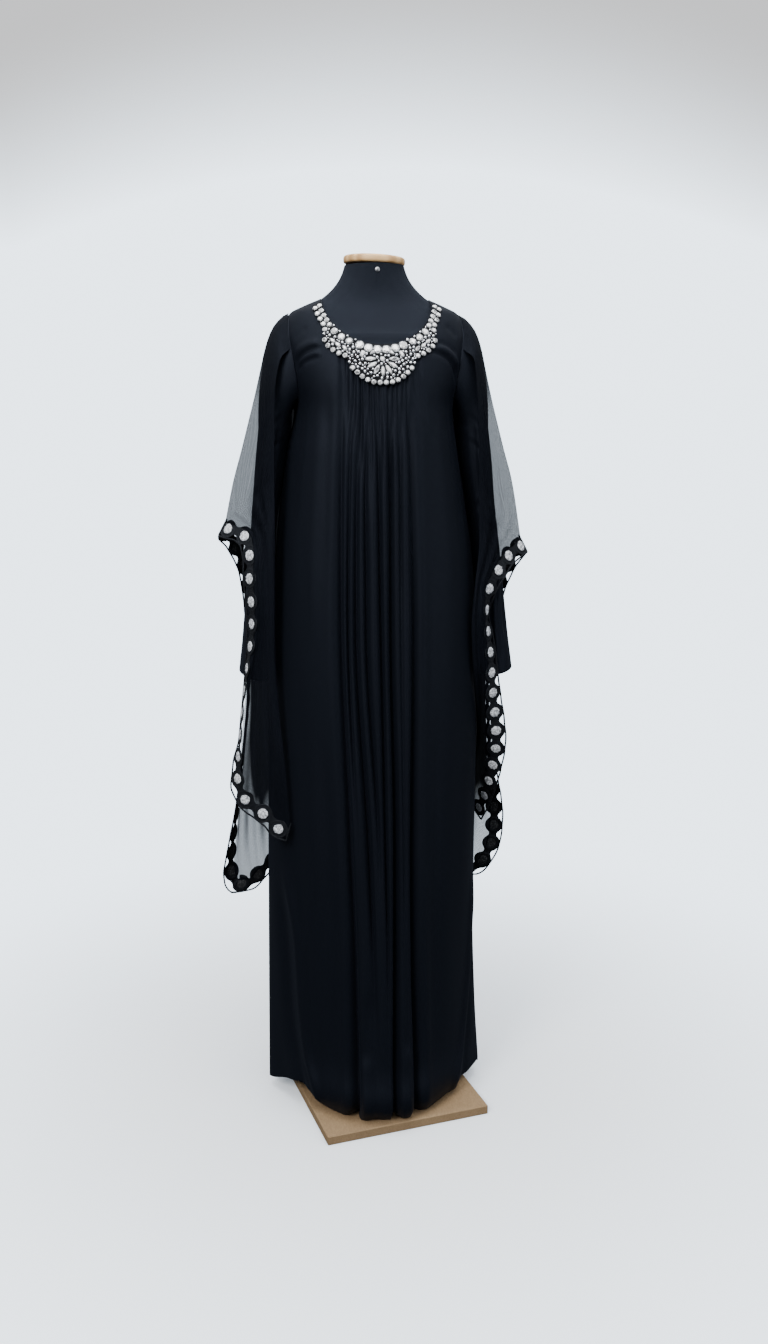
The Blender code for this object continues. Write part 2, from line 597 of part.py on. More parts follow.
def make_binding(front, back, cloth):
    """Narrow rolled strip round the neck opening, just inside the edge of the panels."""
    first = SIDE_COLUMNS - NECK_SIDE_COLUMNS
    front_edge = front[-1, first:-first]
    back_edge = back[-1, first:-first][::-1][1:-1]
    loop = np.concatenate([front_edge, back_edge])
    normals = np.concatenate([body_normals(front_edge, 1), body_normals(back_edge, -1)])
    tangent = unit(np.roll(loop, -1, axis=0) - np.roll(loop, 1, axis=0))
    inward = unit(np.cross(tangent, normals))
    inward *= -np.sign(inward[:, 0] * loop[:, 0] + inward[:, 1] * loop[:, 1])[:, None]
    middle = loop + inward * (BINDING_RADIUS + SEAM) - normals * JERSEY / 2
    turns = np.linspace(0, 2 * math.pi, BINDING_SIDES, endpoint=False)
    rings = [middle + BINDING_RADIUS * (np.cos(turn) * inward + np.sin(turn) * normals) for turn in turns]
    size = len(loop)
    points = np.concatenate(rings)
    faces = []
    for r in range(BINDING_SIDES):
        for c in range(size):
            a, b = r * size + c, r * size + (c + 1) % size
            d, e = (r + 1) % BINDING_SIDES * size + c, (r + 1) % BINDING_SIDES * size + (c + 1) % size
            faces.append((a, b, e, d))
    solid("neck_binding", points, faces, cloth)


# The wings

def whole_border(wing):
    return {key: np.concatenate([wing["side"][key], wing["bottom"][key]]) for key in wing["side"]}


def run_of(points):
    """Distance walked along points."""
    return np.concatenate([[0], np.cumsum(np.linalg.norm(np.diff(points, axis=0), axis=1))])


def border_stations(wing, side, face):
    """Where a border bends: its start, the far shoulder of each medallion, and its end.

    Gives the distance, middle, way across and way out of each, and which one is the corner.
    """
    rows = whole_border(wing)
    middle = np.stack([side * rows["x"], rows["y"], rows["z"]], axis=1)
    run = run_of(middle)
    corner, end = run[len(wing["side"]["x"]) - 1], run[-1]
    count = round(end / MEDALLION_PITCH)
    pitch = end / count
    flat = MEDALLION_HALF * math.tan(math.pi / 8)
    at = np.concatenate([[0], (np.arange(count) + 0.5) * pitch + flat, [end]])

    def read(distance):
        return np.stack([smooth(run, middle[:, k], distance) for k in range(3)], axis=-1)

    turn, dip = (np.radians(smooth(run, rows[key], at)) for key in ("turn", "dip"))
    step = 0.006
    way = unit(read(at + step) - read(at - step))
    way[0] = (0, -face, 0)
    level = np.cos(dip)
    across = np.stack([side * np.cos(turn) * level, face * np.sin(turn) * level, -np.sin(dip)], axis=-1)
    across = unit(across - way * (across * way).sum(axis=-1, keepdims=True))
    out = np.cross(way, across) * side * face
    point = read(at)
    point[0, 1] = -face * SEAM / 2
    return at, point, across, out, int(np.abs(at - corner).argmin())


def wing_top(front, back, side, face):
    """Where a wing half is sewn on, above the armhole's edge, and the ways out there."""
    loop, normals, onward = armhole(front, back, side)
    used = [i for i, step in enumerate(reversed(UPPER_STEPS)) if step >= WING_TOP_STEP]
    order = [-i % len(loop) if face < 0 else i for i in reversed(used)]
    return loop[order] + normals[order] * WING_LIFT + onward[order] * WING_TOP_SHIFT, normals[order]


def make_wing(name, wing, armhole_top, top_normals, side, face, net):
    """Net panel between the armhole, the fold, the lace border and its own inner edge."""
    at, point, border_across, border_out, corner = border_stations(wing, side, face)
    edge = point - (LACE_HALF + 2 * SEAM) * border_across
    seam_y = np.full_like(FOLD["x"], -face * SEAM / 2)
    fold_line = np.stack([side * FOLD["x"], seam_y, FOLD["z"]], axis=1)
    fold = np.concatenate([armhole_top[-1:], fold_line, edge[:1]])
    outer = np.concatenate([along(fold, FOLD_ROWS), edge[:corner + 1]])
    fold_way = unit(np.array([FOLD_WAY]) * (side, face, 1)).repeat(len(FOLD_ROWS), axis=0) * FOLD_ROUNDING
    across = np.concatenate([fold_way, border_across[:corner + 1] * BORDER_EASE])
    across[len(FOLD_ROWS)] = 0
    border_down = TIP_DOWN + (1 - TIP_DOWN) * at[:corner + 1] / at[corner]
    down = np.concatenate([np.array(FOLD_ROWS) * TIP_DOWN, border_down])

    foot = edge[corner:][::-1]
    foot_out = border_out[corner:][::-1]
    whole = np.arange(len(foot))
    halves = np.arange(2 * len(foot) - 1) / 2
    bottom = np.stack([np.interp(halves, whole, foot[:, k]) for k in range(3)], axis=1)
    bottom_out = np.stack([np.interp(halves, whole, foot_out[:, k]) for k in range(3)], axis=1)
    share = run_of(bottom) / run_of(bottom)[-1]
    edge_table = wing["inner"]
    inner_rows = np.stack([side * edge_table["x"], edge_table["y"], edge_table["z"]], axis=1)
    inner = along(np.concatenate([armhole_top[:1], inner_rows, bottom[:1]]), down)

    chord = outer - inner
    width = np.linalg.norm(chord, axis=1, keepdims=True)
    longest = np.linalg.norm(across, axis=1, keepdims=True).clip(1e-9)
    limit = np.minimum(1, ARRIVAL_SHARE * width / longest)
    arrival = np.where(np.abs(across).sum(axis=1, keepdims=True) > 0, across * limit, chord)
    t = share[None, :, None]
    grid = inner[:, None] + chord[:, None] * t + (arrival - chord)[:, None] * t * t * (t - 1)
    ease_top = np.clip(1 - down / TOP_SHARE, 0, 1) ** 2
    ease_bottom = np.clip((down - FOOT_SHARE) / (1 - FOOT_SHARE), 0, 1) ** 1.5
    top = along(armhole_top, share)
    grid = (grid + ease_top[:, None, None] * (top - grid[0])
            + ease_bottom[:, None, None] * (bottom - grid[-1]))

    window = np.sin(math.pi * share)
    bulge = smooth(WING_BULGE["down"], WING_BULGE["out"], down)[:, None] * window
    grid = grid + bulge[..., None] * unit(np.array((side, -face, 0.0)))
    rise = np.clip((down - NET_WAVE_START) / (NET_WAVE_FULL - NET_WAVE_START), 0, 1)
    fade = np.clip((1 - down) / (1 - NET_WAVE_END), 0, 1)
    wave = ((rise * fade)[:, None] * np.clip(width / NET_WAVE_WIDTH, 0, 1) * window
            * np.sin(2 * math.pi * NET_WAVES * share + NET_WAVE_PHASE))
    grid = grid + (NET_WAVE_DEPTH * wave)[..., None] * grid_normals(grid, -side * face)

    normals = grid_normals(grid, -side * face)
    normals[0] = unit(along(top_normals, share))
    normals[len(FOLD_ROWS):, -1] = border_out[:corner + 1]
    normals[-1] = bottom_out
    at_fold = slice(0, len(FOLD_ROWS) + 1)
    normals[at_fold, -1] = unit(normals[at_fold, -1] * (1, 0, 1))
    grid[at_fold, -1, 1] = -face * SEAM / 2
    wall(name, grid + normals * NET / 2, grid - normals * NET / 2, net)


def make_lace(name, wing, side, face, lace):
    """Border strip of medallions in rings between two cords, with the gaps between them open."""
    stations = border_stations(wing, side, face)[:4]
    end = stations[0][-1]
    count = len(stations[0]) - 2
    pitch = end / count
    half = MEDALLION_HALF
    flat = half * math.tan(math.pi / 8)
    bar = LACE_END_BAR
    polygons = []
    marks = [0.0, bar]
    bridge_from = bar
    for k in range(count):
        s = (k + 0.5) * pitch
        ring = [(s - half, -flat), (s - flat, -half), (s + flat, -half), (s + half, -flat),
                (s + half, flat), (s + flat, half), (s - flat, half), (s - half, flat)]
        for corner_here, corner_next in zip(ring, ring[1:] + ring[:1]):
            polygons.append([corner_here, corner_next, (s, 0.0)])
        polygons.append([(bridge_from, -flat), (s - half, -flat), (s - half, flat), (bridge_from, flat)])
        bridge_from = s + half
        marks += [s - flat, s + flat]
    marks += [end - bar, end]
    polygons.append([(bridge_from, -flat), (end - bar, -flat), (end - bar, flat), (bridge_from, flat)])
    for near, far in zip(marks[:-1], marks[1:]):
        for low, high in ((-LACE_HALF, -half), (half, LACE_HALF)):
            polygons.append([(near, low), (far, low), (far, high), (near, high)])
    for near, far in ((0.0, bar), (end - bar, end)):
        for low, high in ((-half, -flat), (-flat, flat), (flat, half)):
            polygons.append([(near, low), (far, low), (far, high), (near, high)])
    plate(name, polygons, stations, lace)


def plate(name, polygons, stations, material):
    """Closed plate over flat polygons of a strip, raised at the middle of each medallion."""
    keys = {}
    for polygon in polygons:
        for s, w in polygon:
            keys.setdefault((round(s, 7), round(w, 7)), len(keys))
    flat = np.array(list(keys))
    at, *frame = stations
    point, across, out = (np.stack([np.interp(flat[:, 0], at, part[:, k]) for k in range(3)], axis=1)
                          for part in frame)
    base = point + across * flat[:, 1:]
    raised = np.where(flat[:, 1] == 0, DISC_RISE, 0.0)[:, None]
    points = np.concatenate([base + out * (LACE / 2 + raised), base - out * LACE / 2])
    size = len(flat)
    faces, edges = [], {}
    for polygon in polygons:
        corners = [keys[(round(s, 7), round(w, 7))] for s, w in polygon]
        for i in range(1, len(corners) - 1):
            tri = (corners[0], corners[i], corners[i + 1])
            faces.append(tri)
            faces.append(tuple(size + c for c in reversed(tri)))
        for a, b in zip(corners, corners[1:] + corners[:1]):
            edges[(a, b)] = True
    for a, b in edges:
        if (b, a) not in edges:
            faces.append((b, a, size + a))
            faces.append((b, size + a, size + b))
    solid(name, points, faces, material)


# The bib

def bib_point(around, share):
    """Point of the bib in front view, share 0 at the neckline and 1 at its outer edge."""
    degrees = abs(around)
    width = smooth(BIB_SHAPE["around"], BIB_SHAPE["width"], degrees)
    slant = math.radians(smooth(BIB_SHAPE["around"], BIB_SHAPE["slant"], degrees))
    angle = math.radians(degrees)
    x = NECK_HALF * math.sin(angle) + share * width * math.sin(slant)
    z = NECK_TOP - FRONT_NECK_DROP * math.cos(angle) - share * width * math.cos(slant)
    return math.copysign(x, around), z


def make_bib(cloth):
    """Stiff ground on the dress front, raised at its large stones."""
    ends = BIB_SHAPE["around"][-1]
    around = np.linspace(-ends, ends, 2 * BIB_STONES - 1)
    flat = np.array([[bib_point(a, share) for a in around] for share in BIB_ROWS["share"]])
    base = on_body(DRESS, flat[..., 0], flat[..., 1], 1)
    normals = grid_normals(base, -1)
    normals = normals * np.where(normals[..., 1:2] > 0, -1, 1)
    inner = base + normals * BIB_LIFT
    outer = inner + normals * BIB
    raised = np.zeros(outer.shape[:2])
    raised[:, ::2] = BIB_ROWS["even"][:, None]
    raised[:, 1::2] = BIB_ROWS["odd"][:, None]
    outer = outer + normals * (raised * BIB_STONE_RISE)[..., None]
    wall("bib", outer, inner, cloth)


# The stand

def loft(name, rings, material):
    """Closed solid through rings of points, flat at both ends."""
    rings = np.array(rings)
    count, size = rings.shape[:2]
    faces = [tuple(range(size))[::-1], tuple(range((count - 1) * size, count * size))]
    for r in range(count - 1):
        for c in range(size):
            a, b = r * size + c, r * size + (c + 1) % size
            faces.append((a, b, b + size, a + size))
    return solid(name, rings.reshape(-1, 3), faces, material)


def make_stand(cloth, wood, board_wood, metal):
    angles = np.linspace(0, 2 * math.pi, FORM_SIDES, endpoint=False)
    loft("form_body", [outline(FORM, np.full_like(angles, z), -angles) for z in FORM["z"]], cloth)

    def disc(radius, z, sides=24):
        turn = np.linspace(0, 2 * math.pi, sides, endpoint=False)
        return np.stack([radius * np.cos(turn), radius * np.sin(turn), np.full_like(turn, z)], axis=1)

    low, high = FORM_TOP + SEAM, FORM_TOP + SEAM + CAP_HEIGHT
    inset = CAP_RADIUS - CAP_EDGE
    loft("form_neck_cap", [disc(inset, low), disc(CAP_RADIUS, low + CAP_EDGE),
                           disc(CAP_RADIUS, high - CAP_EDGE), disc(inset, high)], wood)
    foot, head = disc(POLE_RADIUS, HEM, 16), disc(POLE_RADIUS, FORM_FOOT - SEAM, 16)
    loft("stand_pole", [foot, head], board_wood)

    front = outline(FORM, TACK_HEIGHT, math.pi / 2)[1]
    tack = []
    for share, depth in TACK_RINGS:
        ring = disc(TACK_RADIUS * share, depth, 8)
        y = front - 2 * SEAM - ring[:, 2]
        tack.append(np.stack([ring[:, 0], y, TACK_HEIGHT + ring[:, 1]], axis=1))
    loft("neck_tack", tack, metal)

    bpy.ops.mesh.primitive_cube_add(size=1, location=(0, 0, BOARD_SIZE[2] / 2))
    board = bpy.context.object
    board.name = "base_board"
    board.scale = BOARD_SIZE
    bpy.ops.object.transform_apply(location=False, rotation=False, scale=True)
    board.rotation_euler.z = BOARD_TURN
    rounding = board.modifiers.new("edges", "BEVEL")
    rounding.width = BOARD_EDGE
    rounding.segments = 1
    board.data.materials.append(board_wood)


def build():
    for item in list(bpy.data.objects):
        bpy.data.objects.remove(item, do_unlink=True)
    jersey = finish("black jersey", (0.010, 0.012, 0.016), 0.62)
    stones = finish("bib ground", (0.55, 0.56, 0.58), 0.25)
    navy = finish("navy form cloth", (0.040, 0.052, 0.085), 0.8)
    wood = finish("neck cap wood", (0.55, 0.38, 0.24), 0.6)
    board_wood = finish("board", (0.42, 0.32, 0.21), 0.7)
    net = finish("black net", (0.020, 0.022, 0.025), 0.8)
    lace = finish("medallion lace", (0.045, 0.048, 0.055), 0.6)
    steel = finish("tack steel", (0.6, 0.6, 0.6), 0.3, 1.0)
    make_stand(navy, wood, board_wood, steel)
    front = make_panel("dress_front", FRONT_TROUGHS, 1, FRONT_NECK_DROP, jersey)
    back = make_panel("dress_back", BACK_TROUGHS, -1, BACK_NECK_DROP, jersey)
    for name, side in (("left", -1), ("right", 1)):
        make_sleeve("sleeve_" + name, front, back, side, jersey)
        for half, face in (("front", 1), ("back", -1)):
            wing = WINGS[half + "_" + name]
            top, normals = wing_top(front, back, side, face)
            make_wing("wing_" + half + "_" + name, wing, top, normals, side, face, net)
            make_lace("lace_" + half + "_" + name, wing, side, face, lace)
    make_bib(stones)
    make_binding(front, back, jersey)


build()
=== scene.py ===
"""The looks of a black jersey robe with net wings, on a limbless dress form and a square board.

Metres, +Z up. The robe faces -Y. Tables of the sleeves and wings count x outwards from the middle.
A side of -1 is on the left in a front view, and a face of 1 is the front.
"""
import json
import math

import bmesh
import bpy
import numpy as np
from mathutils import Matrix, Vector
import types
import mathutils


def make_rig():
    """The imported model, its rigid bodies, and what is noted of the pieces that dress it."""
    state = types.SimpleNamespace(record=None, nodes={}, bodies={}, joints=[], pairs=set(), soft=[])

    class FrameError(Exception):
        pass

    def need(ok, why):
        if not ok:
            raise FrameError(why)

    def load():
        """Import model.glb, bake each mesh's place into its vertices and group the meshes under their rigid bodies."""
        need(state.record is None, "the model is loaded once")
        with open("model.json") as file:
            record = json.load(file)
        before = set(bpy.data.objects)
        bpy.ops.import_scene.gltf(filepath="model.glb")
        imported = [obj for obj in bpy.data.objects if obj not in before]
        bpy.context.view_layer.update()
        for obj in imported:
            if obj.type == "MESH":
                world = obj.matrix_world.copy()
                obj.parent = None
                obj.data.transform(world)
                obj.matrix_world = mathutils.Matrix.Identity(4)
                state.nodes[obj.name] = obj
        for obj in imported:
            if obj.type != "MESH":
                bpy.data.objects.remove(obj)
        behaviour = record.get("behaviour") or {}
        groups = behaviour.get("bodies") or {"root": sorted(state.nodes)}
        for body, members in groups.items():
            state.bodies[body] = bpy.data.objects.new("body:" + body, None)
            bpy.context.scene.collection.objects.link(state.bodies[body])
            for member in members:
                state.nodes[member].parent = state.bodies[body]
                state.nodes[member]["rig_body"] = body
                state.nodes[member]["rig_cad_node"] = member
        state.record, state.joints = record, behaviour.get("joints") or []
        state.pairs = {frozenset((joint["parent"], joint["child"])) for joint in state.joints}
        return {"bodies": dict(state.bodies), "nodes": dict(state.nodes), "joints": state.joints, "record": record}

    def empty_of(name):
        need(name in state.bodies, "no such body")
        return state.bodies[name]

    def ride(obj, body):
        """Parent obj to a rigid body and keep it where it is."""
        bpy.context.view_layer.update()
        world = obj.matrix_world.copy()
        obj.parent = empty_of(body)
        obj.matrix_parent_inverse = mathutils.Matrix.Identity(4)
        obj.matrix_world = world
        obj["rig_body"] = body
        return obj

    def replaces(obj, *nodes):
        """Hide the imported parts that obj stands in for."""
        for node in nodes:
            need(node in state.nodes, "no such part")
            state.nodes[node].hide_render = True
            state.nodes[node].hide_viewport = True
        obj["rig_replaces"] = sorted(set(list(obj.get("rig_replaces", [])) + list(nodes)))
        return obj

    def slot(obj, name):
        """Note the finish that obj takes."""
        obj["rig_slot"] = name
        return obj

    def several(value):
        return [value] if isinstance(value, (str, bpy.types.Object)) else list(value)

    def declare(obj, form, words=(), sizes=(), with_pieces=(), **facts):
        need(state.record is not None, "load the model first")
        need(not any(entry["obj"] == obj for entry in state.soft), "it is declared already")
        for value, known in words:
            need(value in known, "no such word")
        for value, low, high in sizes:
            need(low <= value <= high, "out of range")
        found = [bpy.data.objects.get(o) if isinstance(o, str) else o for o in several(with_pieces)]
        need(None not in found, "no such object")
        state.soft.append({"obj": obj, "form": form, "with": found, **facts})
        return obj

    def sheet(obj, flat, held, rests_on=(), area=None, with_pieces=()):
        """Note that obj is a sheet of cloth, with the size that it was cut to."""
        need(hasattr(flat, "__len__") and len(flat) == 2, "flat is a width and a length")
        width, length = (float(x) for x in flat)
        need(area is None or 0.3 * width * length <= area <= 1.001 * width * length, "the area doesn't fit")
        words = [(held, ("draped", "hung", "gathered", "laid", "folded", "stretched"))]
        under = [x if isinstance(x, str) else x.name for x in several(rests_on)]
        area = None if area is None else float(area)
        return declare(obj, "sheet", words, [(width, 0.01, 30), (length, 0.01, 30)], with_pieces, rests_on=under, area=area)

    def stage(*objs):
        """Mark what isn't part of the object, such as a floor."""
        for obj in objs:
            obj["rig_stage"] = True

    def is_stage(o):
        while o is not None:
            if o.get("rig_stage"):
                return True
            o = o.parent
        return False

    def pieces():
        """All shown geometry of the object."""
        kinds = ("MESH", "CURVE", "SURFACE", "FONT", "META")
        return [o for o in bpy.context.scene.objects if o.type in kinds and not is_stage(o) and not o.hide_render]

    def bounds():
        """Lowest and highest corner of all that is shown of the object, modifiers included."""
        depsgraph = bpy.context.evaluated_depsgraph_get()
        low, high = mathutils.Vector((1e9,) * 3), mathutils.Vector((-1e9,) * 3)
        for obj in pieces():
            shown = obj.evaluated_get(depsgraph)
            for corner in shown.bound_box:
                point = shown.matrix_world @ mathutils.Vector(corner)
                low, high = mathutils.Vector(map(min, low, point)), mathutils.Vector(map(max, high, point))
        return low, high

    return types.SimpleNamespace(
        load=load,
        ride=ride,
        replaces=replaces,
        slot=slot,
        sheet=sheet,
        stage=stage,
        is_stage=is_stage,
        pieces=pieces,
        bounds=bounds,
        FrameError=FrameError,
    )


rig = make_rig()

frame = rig.load()
cad_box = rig.bounds()
TWO_PI = 2 * math.pi


def numbers(text, columns):
    """Rows of numbers out of a table; a line may hold several rows."""
    return np.array(text.split(), float).reshape(-1, columns)


def table(text):
    """Named columns of a table, each as an array."""
    heads, rows = text.strip().split("\n", 1)
    heads = heads.split()
    return dict(zip(heads, numbers(rows, len(heads)).T))


# Sizes shared with the solids

SEAM = 0.0003
JERSEY_THICKNESS = 0.0012
BOARD_TOP = 0.018
HEM = BOARD_TOP + SEAM
ARMPIT = 1.335
NECK_HALF, NECK_TOP = 0.099, 1.5245
FRONT_NECK_DROP, BACK_NECK_DROP = 0.0835, 0.024
NOSE = 0.006
SIDE_ANGLE = 0.02

DRESS = table("""
z      left  right front back pinch
.0183  .2145 .2125 .200 .180 2.10
.170   .2125 .2030 .194 .170 1.85
.385   .2095 .1960 .186 .158 1.50
.590   .2060 .1960 .177 .147 1.20
.800   .1990 .1940 .168 .137 1.05
.950   .1925 .1910 .159 .130 1.00
1.060  .1850 .1820 .152 .125 .97
1.170  .1735 .1660 .146 .120 .95
1.260  .1600 .1510 .141 .114 .92
1.335  .1450 .1420 .135 .109 .90
1.380  .1550 .1540 .127 .105 .90
1.420  .1630 .1630 .115 .099 .90
1.455  .1670 .1670 .098 .090 .90
1.480  .1620 .1620 .083 .080 .90
1.501  .1500 .1500 .069 .068 .90
1.513  .1270 .1270 .060 .060 .90
1.521  .1080 .1080 .055 .055 .90
1.5245 .0990 .0990 .053 .053 .90
""")
FORM = table("""
z      right front back  pinch
.760   .126  .080  .085  .92
.790   .150  .092  .100  .92
.880   .160  .100  .110  .92
.980   .145  .098  .100  .92
1.090  .112  .092  .082  .92
1.170  .114  .100  .084  .92
1.260  .126  .122  .092  .92
1.335  .132  .124  .098  .90
1.390  .143  .116  .096  .90
1.4155 .158  .1118 .0958 .90
1.4505 .158  .0948 .0868 .90
1.4755 .158  .0798 .0768 .90
1.4965 .1468 .0658 .0648 .90
1.5085 .1238 .0568 .0568 .90
1.5165 .1048 .0518 .0518 .90
1.520  .0958 .0498 .0498 .90
1.534  .083  .0475 .048  .92
1.549  .067  .0465 .047  .96
1.566  .057  .0465 .047  1.00
1.583  .053  .0470 .047  1.00
""")
FORM["left"] = FORM["right"]
FORM_FOOT, FORM_TOP = FORM["z"][[0, -1]]
CAP_RADIUS, CAP_HEIGHT, CAP_LIFT = 0.055, 0.0135, 0.0012
TACK_RADIUS, TACK_HEIGHT = 0.0042, 1.5715


# Curves and surfaces

def hermite(t, start, leave, end, arrive):
    return (start * (1 + 2 * t) * (1 - t) ** 2 + leave * t * (1 - t) ** 2
            + end * t * t * (3 - 2 * t) + arrive * t * t * (t - 1))


def smooth(xs, ys, x):
    """Cubic through points that never overshoots them."""
    step = np.diff(xs)
    slope = np.diff(ys) / step
    tangent = np.zeros(len(ys))
    tangent[0], tangent[-1] = slope[0], slope[-1]
    same = slope[:-1] * slope[1:] > 0
    tangent[1:-1][same] = 2 * (slope[:-1] * slope[1:])[same] / (slope[:-1] + slope[1:])[same]
    x = np.clip(x, xs[0], xs[-1])
    i = np.clip(np.searchsorted(xs, x) - 1, 0, len(step) - 1)
    return hermite((x - xs[i]) / step[i], ys[i], step[i] * tangent[i], ys[i + 1], step[i] * tangent[i + 1])


def look(sizes, column, at, key="z"):
    return smooth(sizes[key], sizes[column], at)


def unit(vectors):
    return vectors / np.maximum(np.linalg.norm(vectors, axis=-1, keepdims=True), 1e-12)


def run_of(points):
    """Distance walked along points."""
    return np.concatenate([[0], np.cumsum(np.linalg.norm(np.diff(points, axis=0), axis=1))])


def along(points, fractions):
    """Smooth path through points, read at fractions of its length."""
    run = run_of(points)
    fine = np.linspace(0, run[-1], 400)
    path = np.stack([smooth(run, points[:, k], fine) for k in range(3)], axis=1)
    run = run_of(path)
    return np.stack([np.interp(fractions * run[-1], run, path[:, k]) for k in range(3)], axis=-1)


def ramp(x, start, end):
    """Soft step from 0 at start to 1 at end."""
    t = np.clip((x - start) / (end - start), 0, 1)
    return t * t * (3 - 2 * t)


def hump(x, width):
    return np.exp(-(x / width) ** 2)


def half_width(body, x, z):
    """Reach of a body's outline at height z, on the side that x is on."""
    return np.where(x > 0, look(body, "right", z), look(body, "left", z))


def outline(body, z, angle):
    """Point of a body at height z: angle 0 is its +X side, 90 degrees its front."""
    cosine, sine = np.cos(angle), np.sin(angle)
    depth = np.where(sine > 0, look(body, "front", z), look(body, "back", z))
    bulge = depth * np.abs(sine) ** look(body, "pinch", z) + NOSE * np.abs(sine) ** 0.5
    across = half_width(body, cosine, z) * cosine
    return np.stack(np.broadcast_arrays(across, -np.sign(sine) * bulge, z), axis=-1)


def on_body(body, x, z, face):
    """Point of a body straight behind (x, z) in front view."""
    angle = np.arccos(np.clip(x / half_width(body, x, z), -1, 1))
    angle = np.where(angle < SIDE_ANGLE, 0, np.where(angle > math.pi - SIDE_ANGLE, math.pi, angle))
    point = outline(body, z, face * angle)
    point[..., 1] = np.where((angle == 0) | (angle == math.pi), 0, point[..., 1])
    return point


def body_normals(points, face):
    """Way out from the dress at points of its plain outline."""
    x, z = points[..., 0], points[..., 2]
    angle = face * np.arccos(np.clip(x / half_width(DRESS, x, z), -1, 1))
    around, rise = 0.03, 0.001
    level = np.clip(z, HEM + rise, NECK_TOP - rise)
    across = outline(DRESS, level, angle + around) - outline(DRESS, level, angle - around)
    up = outline(DRESS, level + rise, angle) - outline(DRESS, level - rise, angle)
    normals = np.cross(up, across)
    normals[np.abs(points[..., 1]) < SEAM, 1] = 0
    return unit(normals)


def loop_ways(points, axis):
    """Steps along closed loops of points."""
    return np.roll(points, -1, axis=axis) - np.roll(points, 1, axis=axis)


def grid_normals(points, sense, wrap=False):
    """Unit normals of a grid of points; sense picks the side that faces out."""
    across = loop_ways(points, 1) if wrap else np.gradient(points, axis=1)
    return unit(np.cross(across, np.gradient(points, axis=0))) * sense


def circle(steps):
    return np.linspace(0, TWO_PI, steps, endpoint=False)


def ring(radius, height, turn, centre=(0.0, 0.0)):
    """Points at turns round a centre, with one radius and height or one for each turn."""
    right, up = centre[0] + radius * np.cos(turn), centre[1] + radius * np.sin(turn)
    return np.stack(np.broadcast_arrays(right, up, height), axis=-1)


# Meshes

def mesh_object(name, points, faces, materials, uv=None, slots=None, sharp=None):
    """Smooth-shaded object; uv holds a pair for each corner of each face in turn."""
    mesh = bpy.data.meshes.new(name)
    mesh.from_pydata(np.reshape(points, (-1, 3)).tolist(), [], faces)
    for material in materials:
        mesh.materials.append(material)
    if slots is not None:
        mesh.polygons.foreach_set("material_index", slots)
    if uv is not None:
        mesh.uv_layers.new(name="cloth").data.foreach_set("uv", uv.astype(np.float32).ravel())
    mesh.shade_smooth()
    if sharp is not None:
        mesh.set_sharp_from_angle(angle=math.radians(sharp))
    part = bpy.data.objects.new(name, mesh)
    bpy.context.scene.collection.objects.link(part)
    return part


def grid_faces(rows, columns, wrap=False, flip=False):
    r, c = np.meshgrid(np.arange(rows - 1), np.arange(columns if wrap else columns - 1), indexing="ij")
    a = (r * columns + c).ravel()
    b = (r * columns + (c + 1) % columns).ravel()
    quads = np.stack([a, b, b + columns, a + columns], axis=1)
    return (quads[:, ::-1] if flip else quads).tolist()


def capped_faces(rows, columns):
    """Faces of a tube of rings, closed at both ends."""
    last = (rows - 1) * columns
    ends = [tuple(range(columns))[::-1], tuple(range(last, last + columns))]
    return grid_faces(rows, columns, wrap=True) + ends


def grid_uv(points):
    """Metres across and along the cloth, measured from its middle column and first row."""
    rows, columns = points.shape[:2]
    across = np.linalg.norm(np.diff(points, axis=1), axis=2).cumsum(axis=1)
    across = np.concatenate([np.zeros((rows, 1)), across], axis=1)
    across -= across[:, columns // 2:columns // 2 + 1]
    up = np.linalg.norm(np.diff(points, axis=0), axis=2).cumsum(axis=0)
    return np.stack([across, np.concatenate([np.zeros((1, columns)), up], axis=0)], axis=-1)


def grid_object(name, points, material, sense=1, wrap=False):
    """One surface through a grid of points, facing the way that sense says."""
    rows, columns = points.shape[:2]
    faces = np.array(grid_faces(rows, columns, wrap, flip=sense < 0))
    row, column = faces // columns, faces % columns
    flat = points
    if wrap:
        flat = np.concatenate([points, points[:, :1]], axis=1)
        last = np.arange(len(faces))[:, None] % columns == columns - 1
        column = np.where(last & (column == 0), columns, column)
    return mesh_object(name, points, faces.tolist(), [material], grid_uv(flat)[row, column])


def thicken(part, thickness):
    """Gives a cloth surface its real thickness, inwards from its face."""
    solid = part.modifiers.new("cloth thickness", "SOLIDIFY")
    solid.thickness = thickness
    solid.offset = -1.0
    solid.use_even_offset = True


# Materials

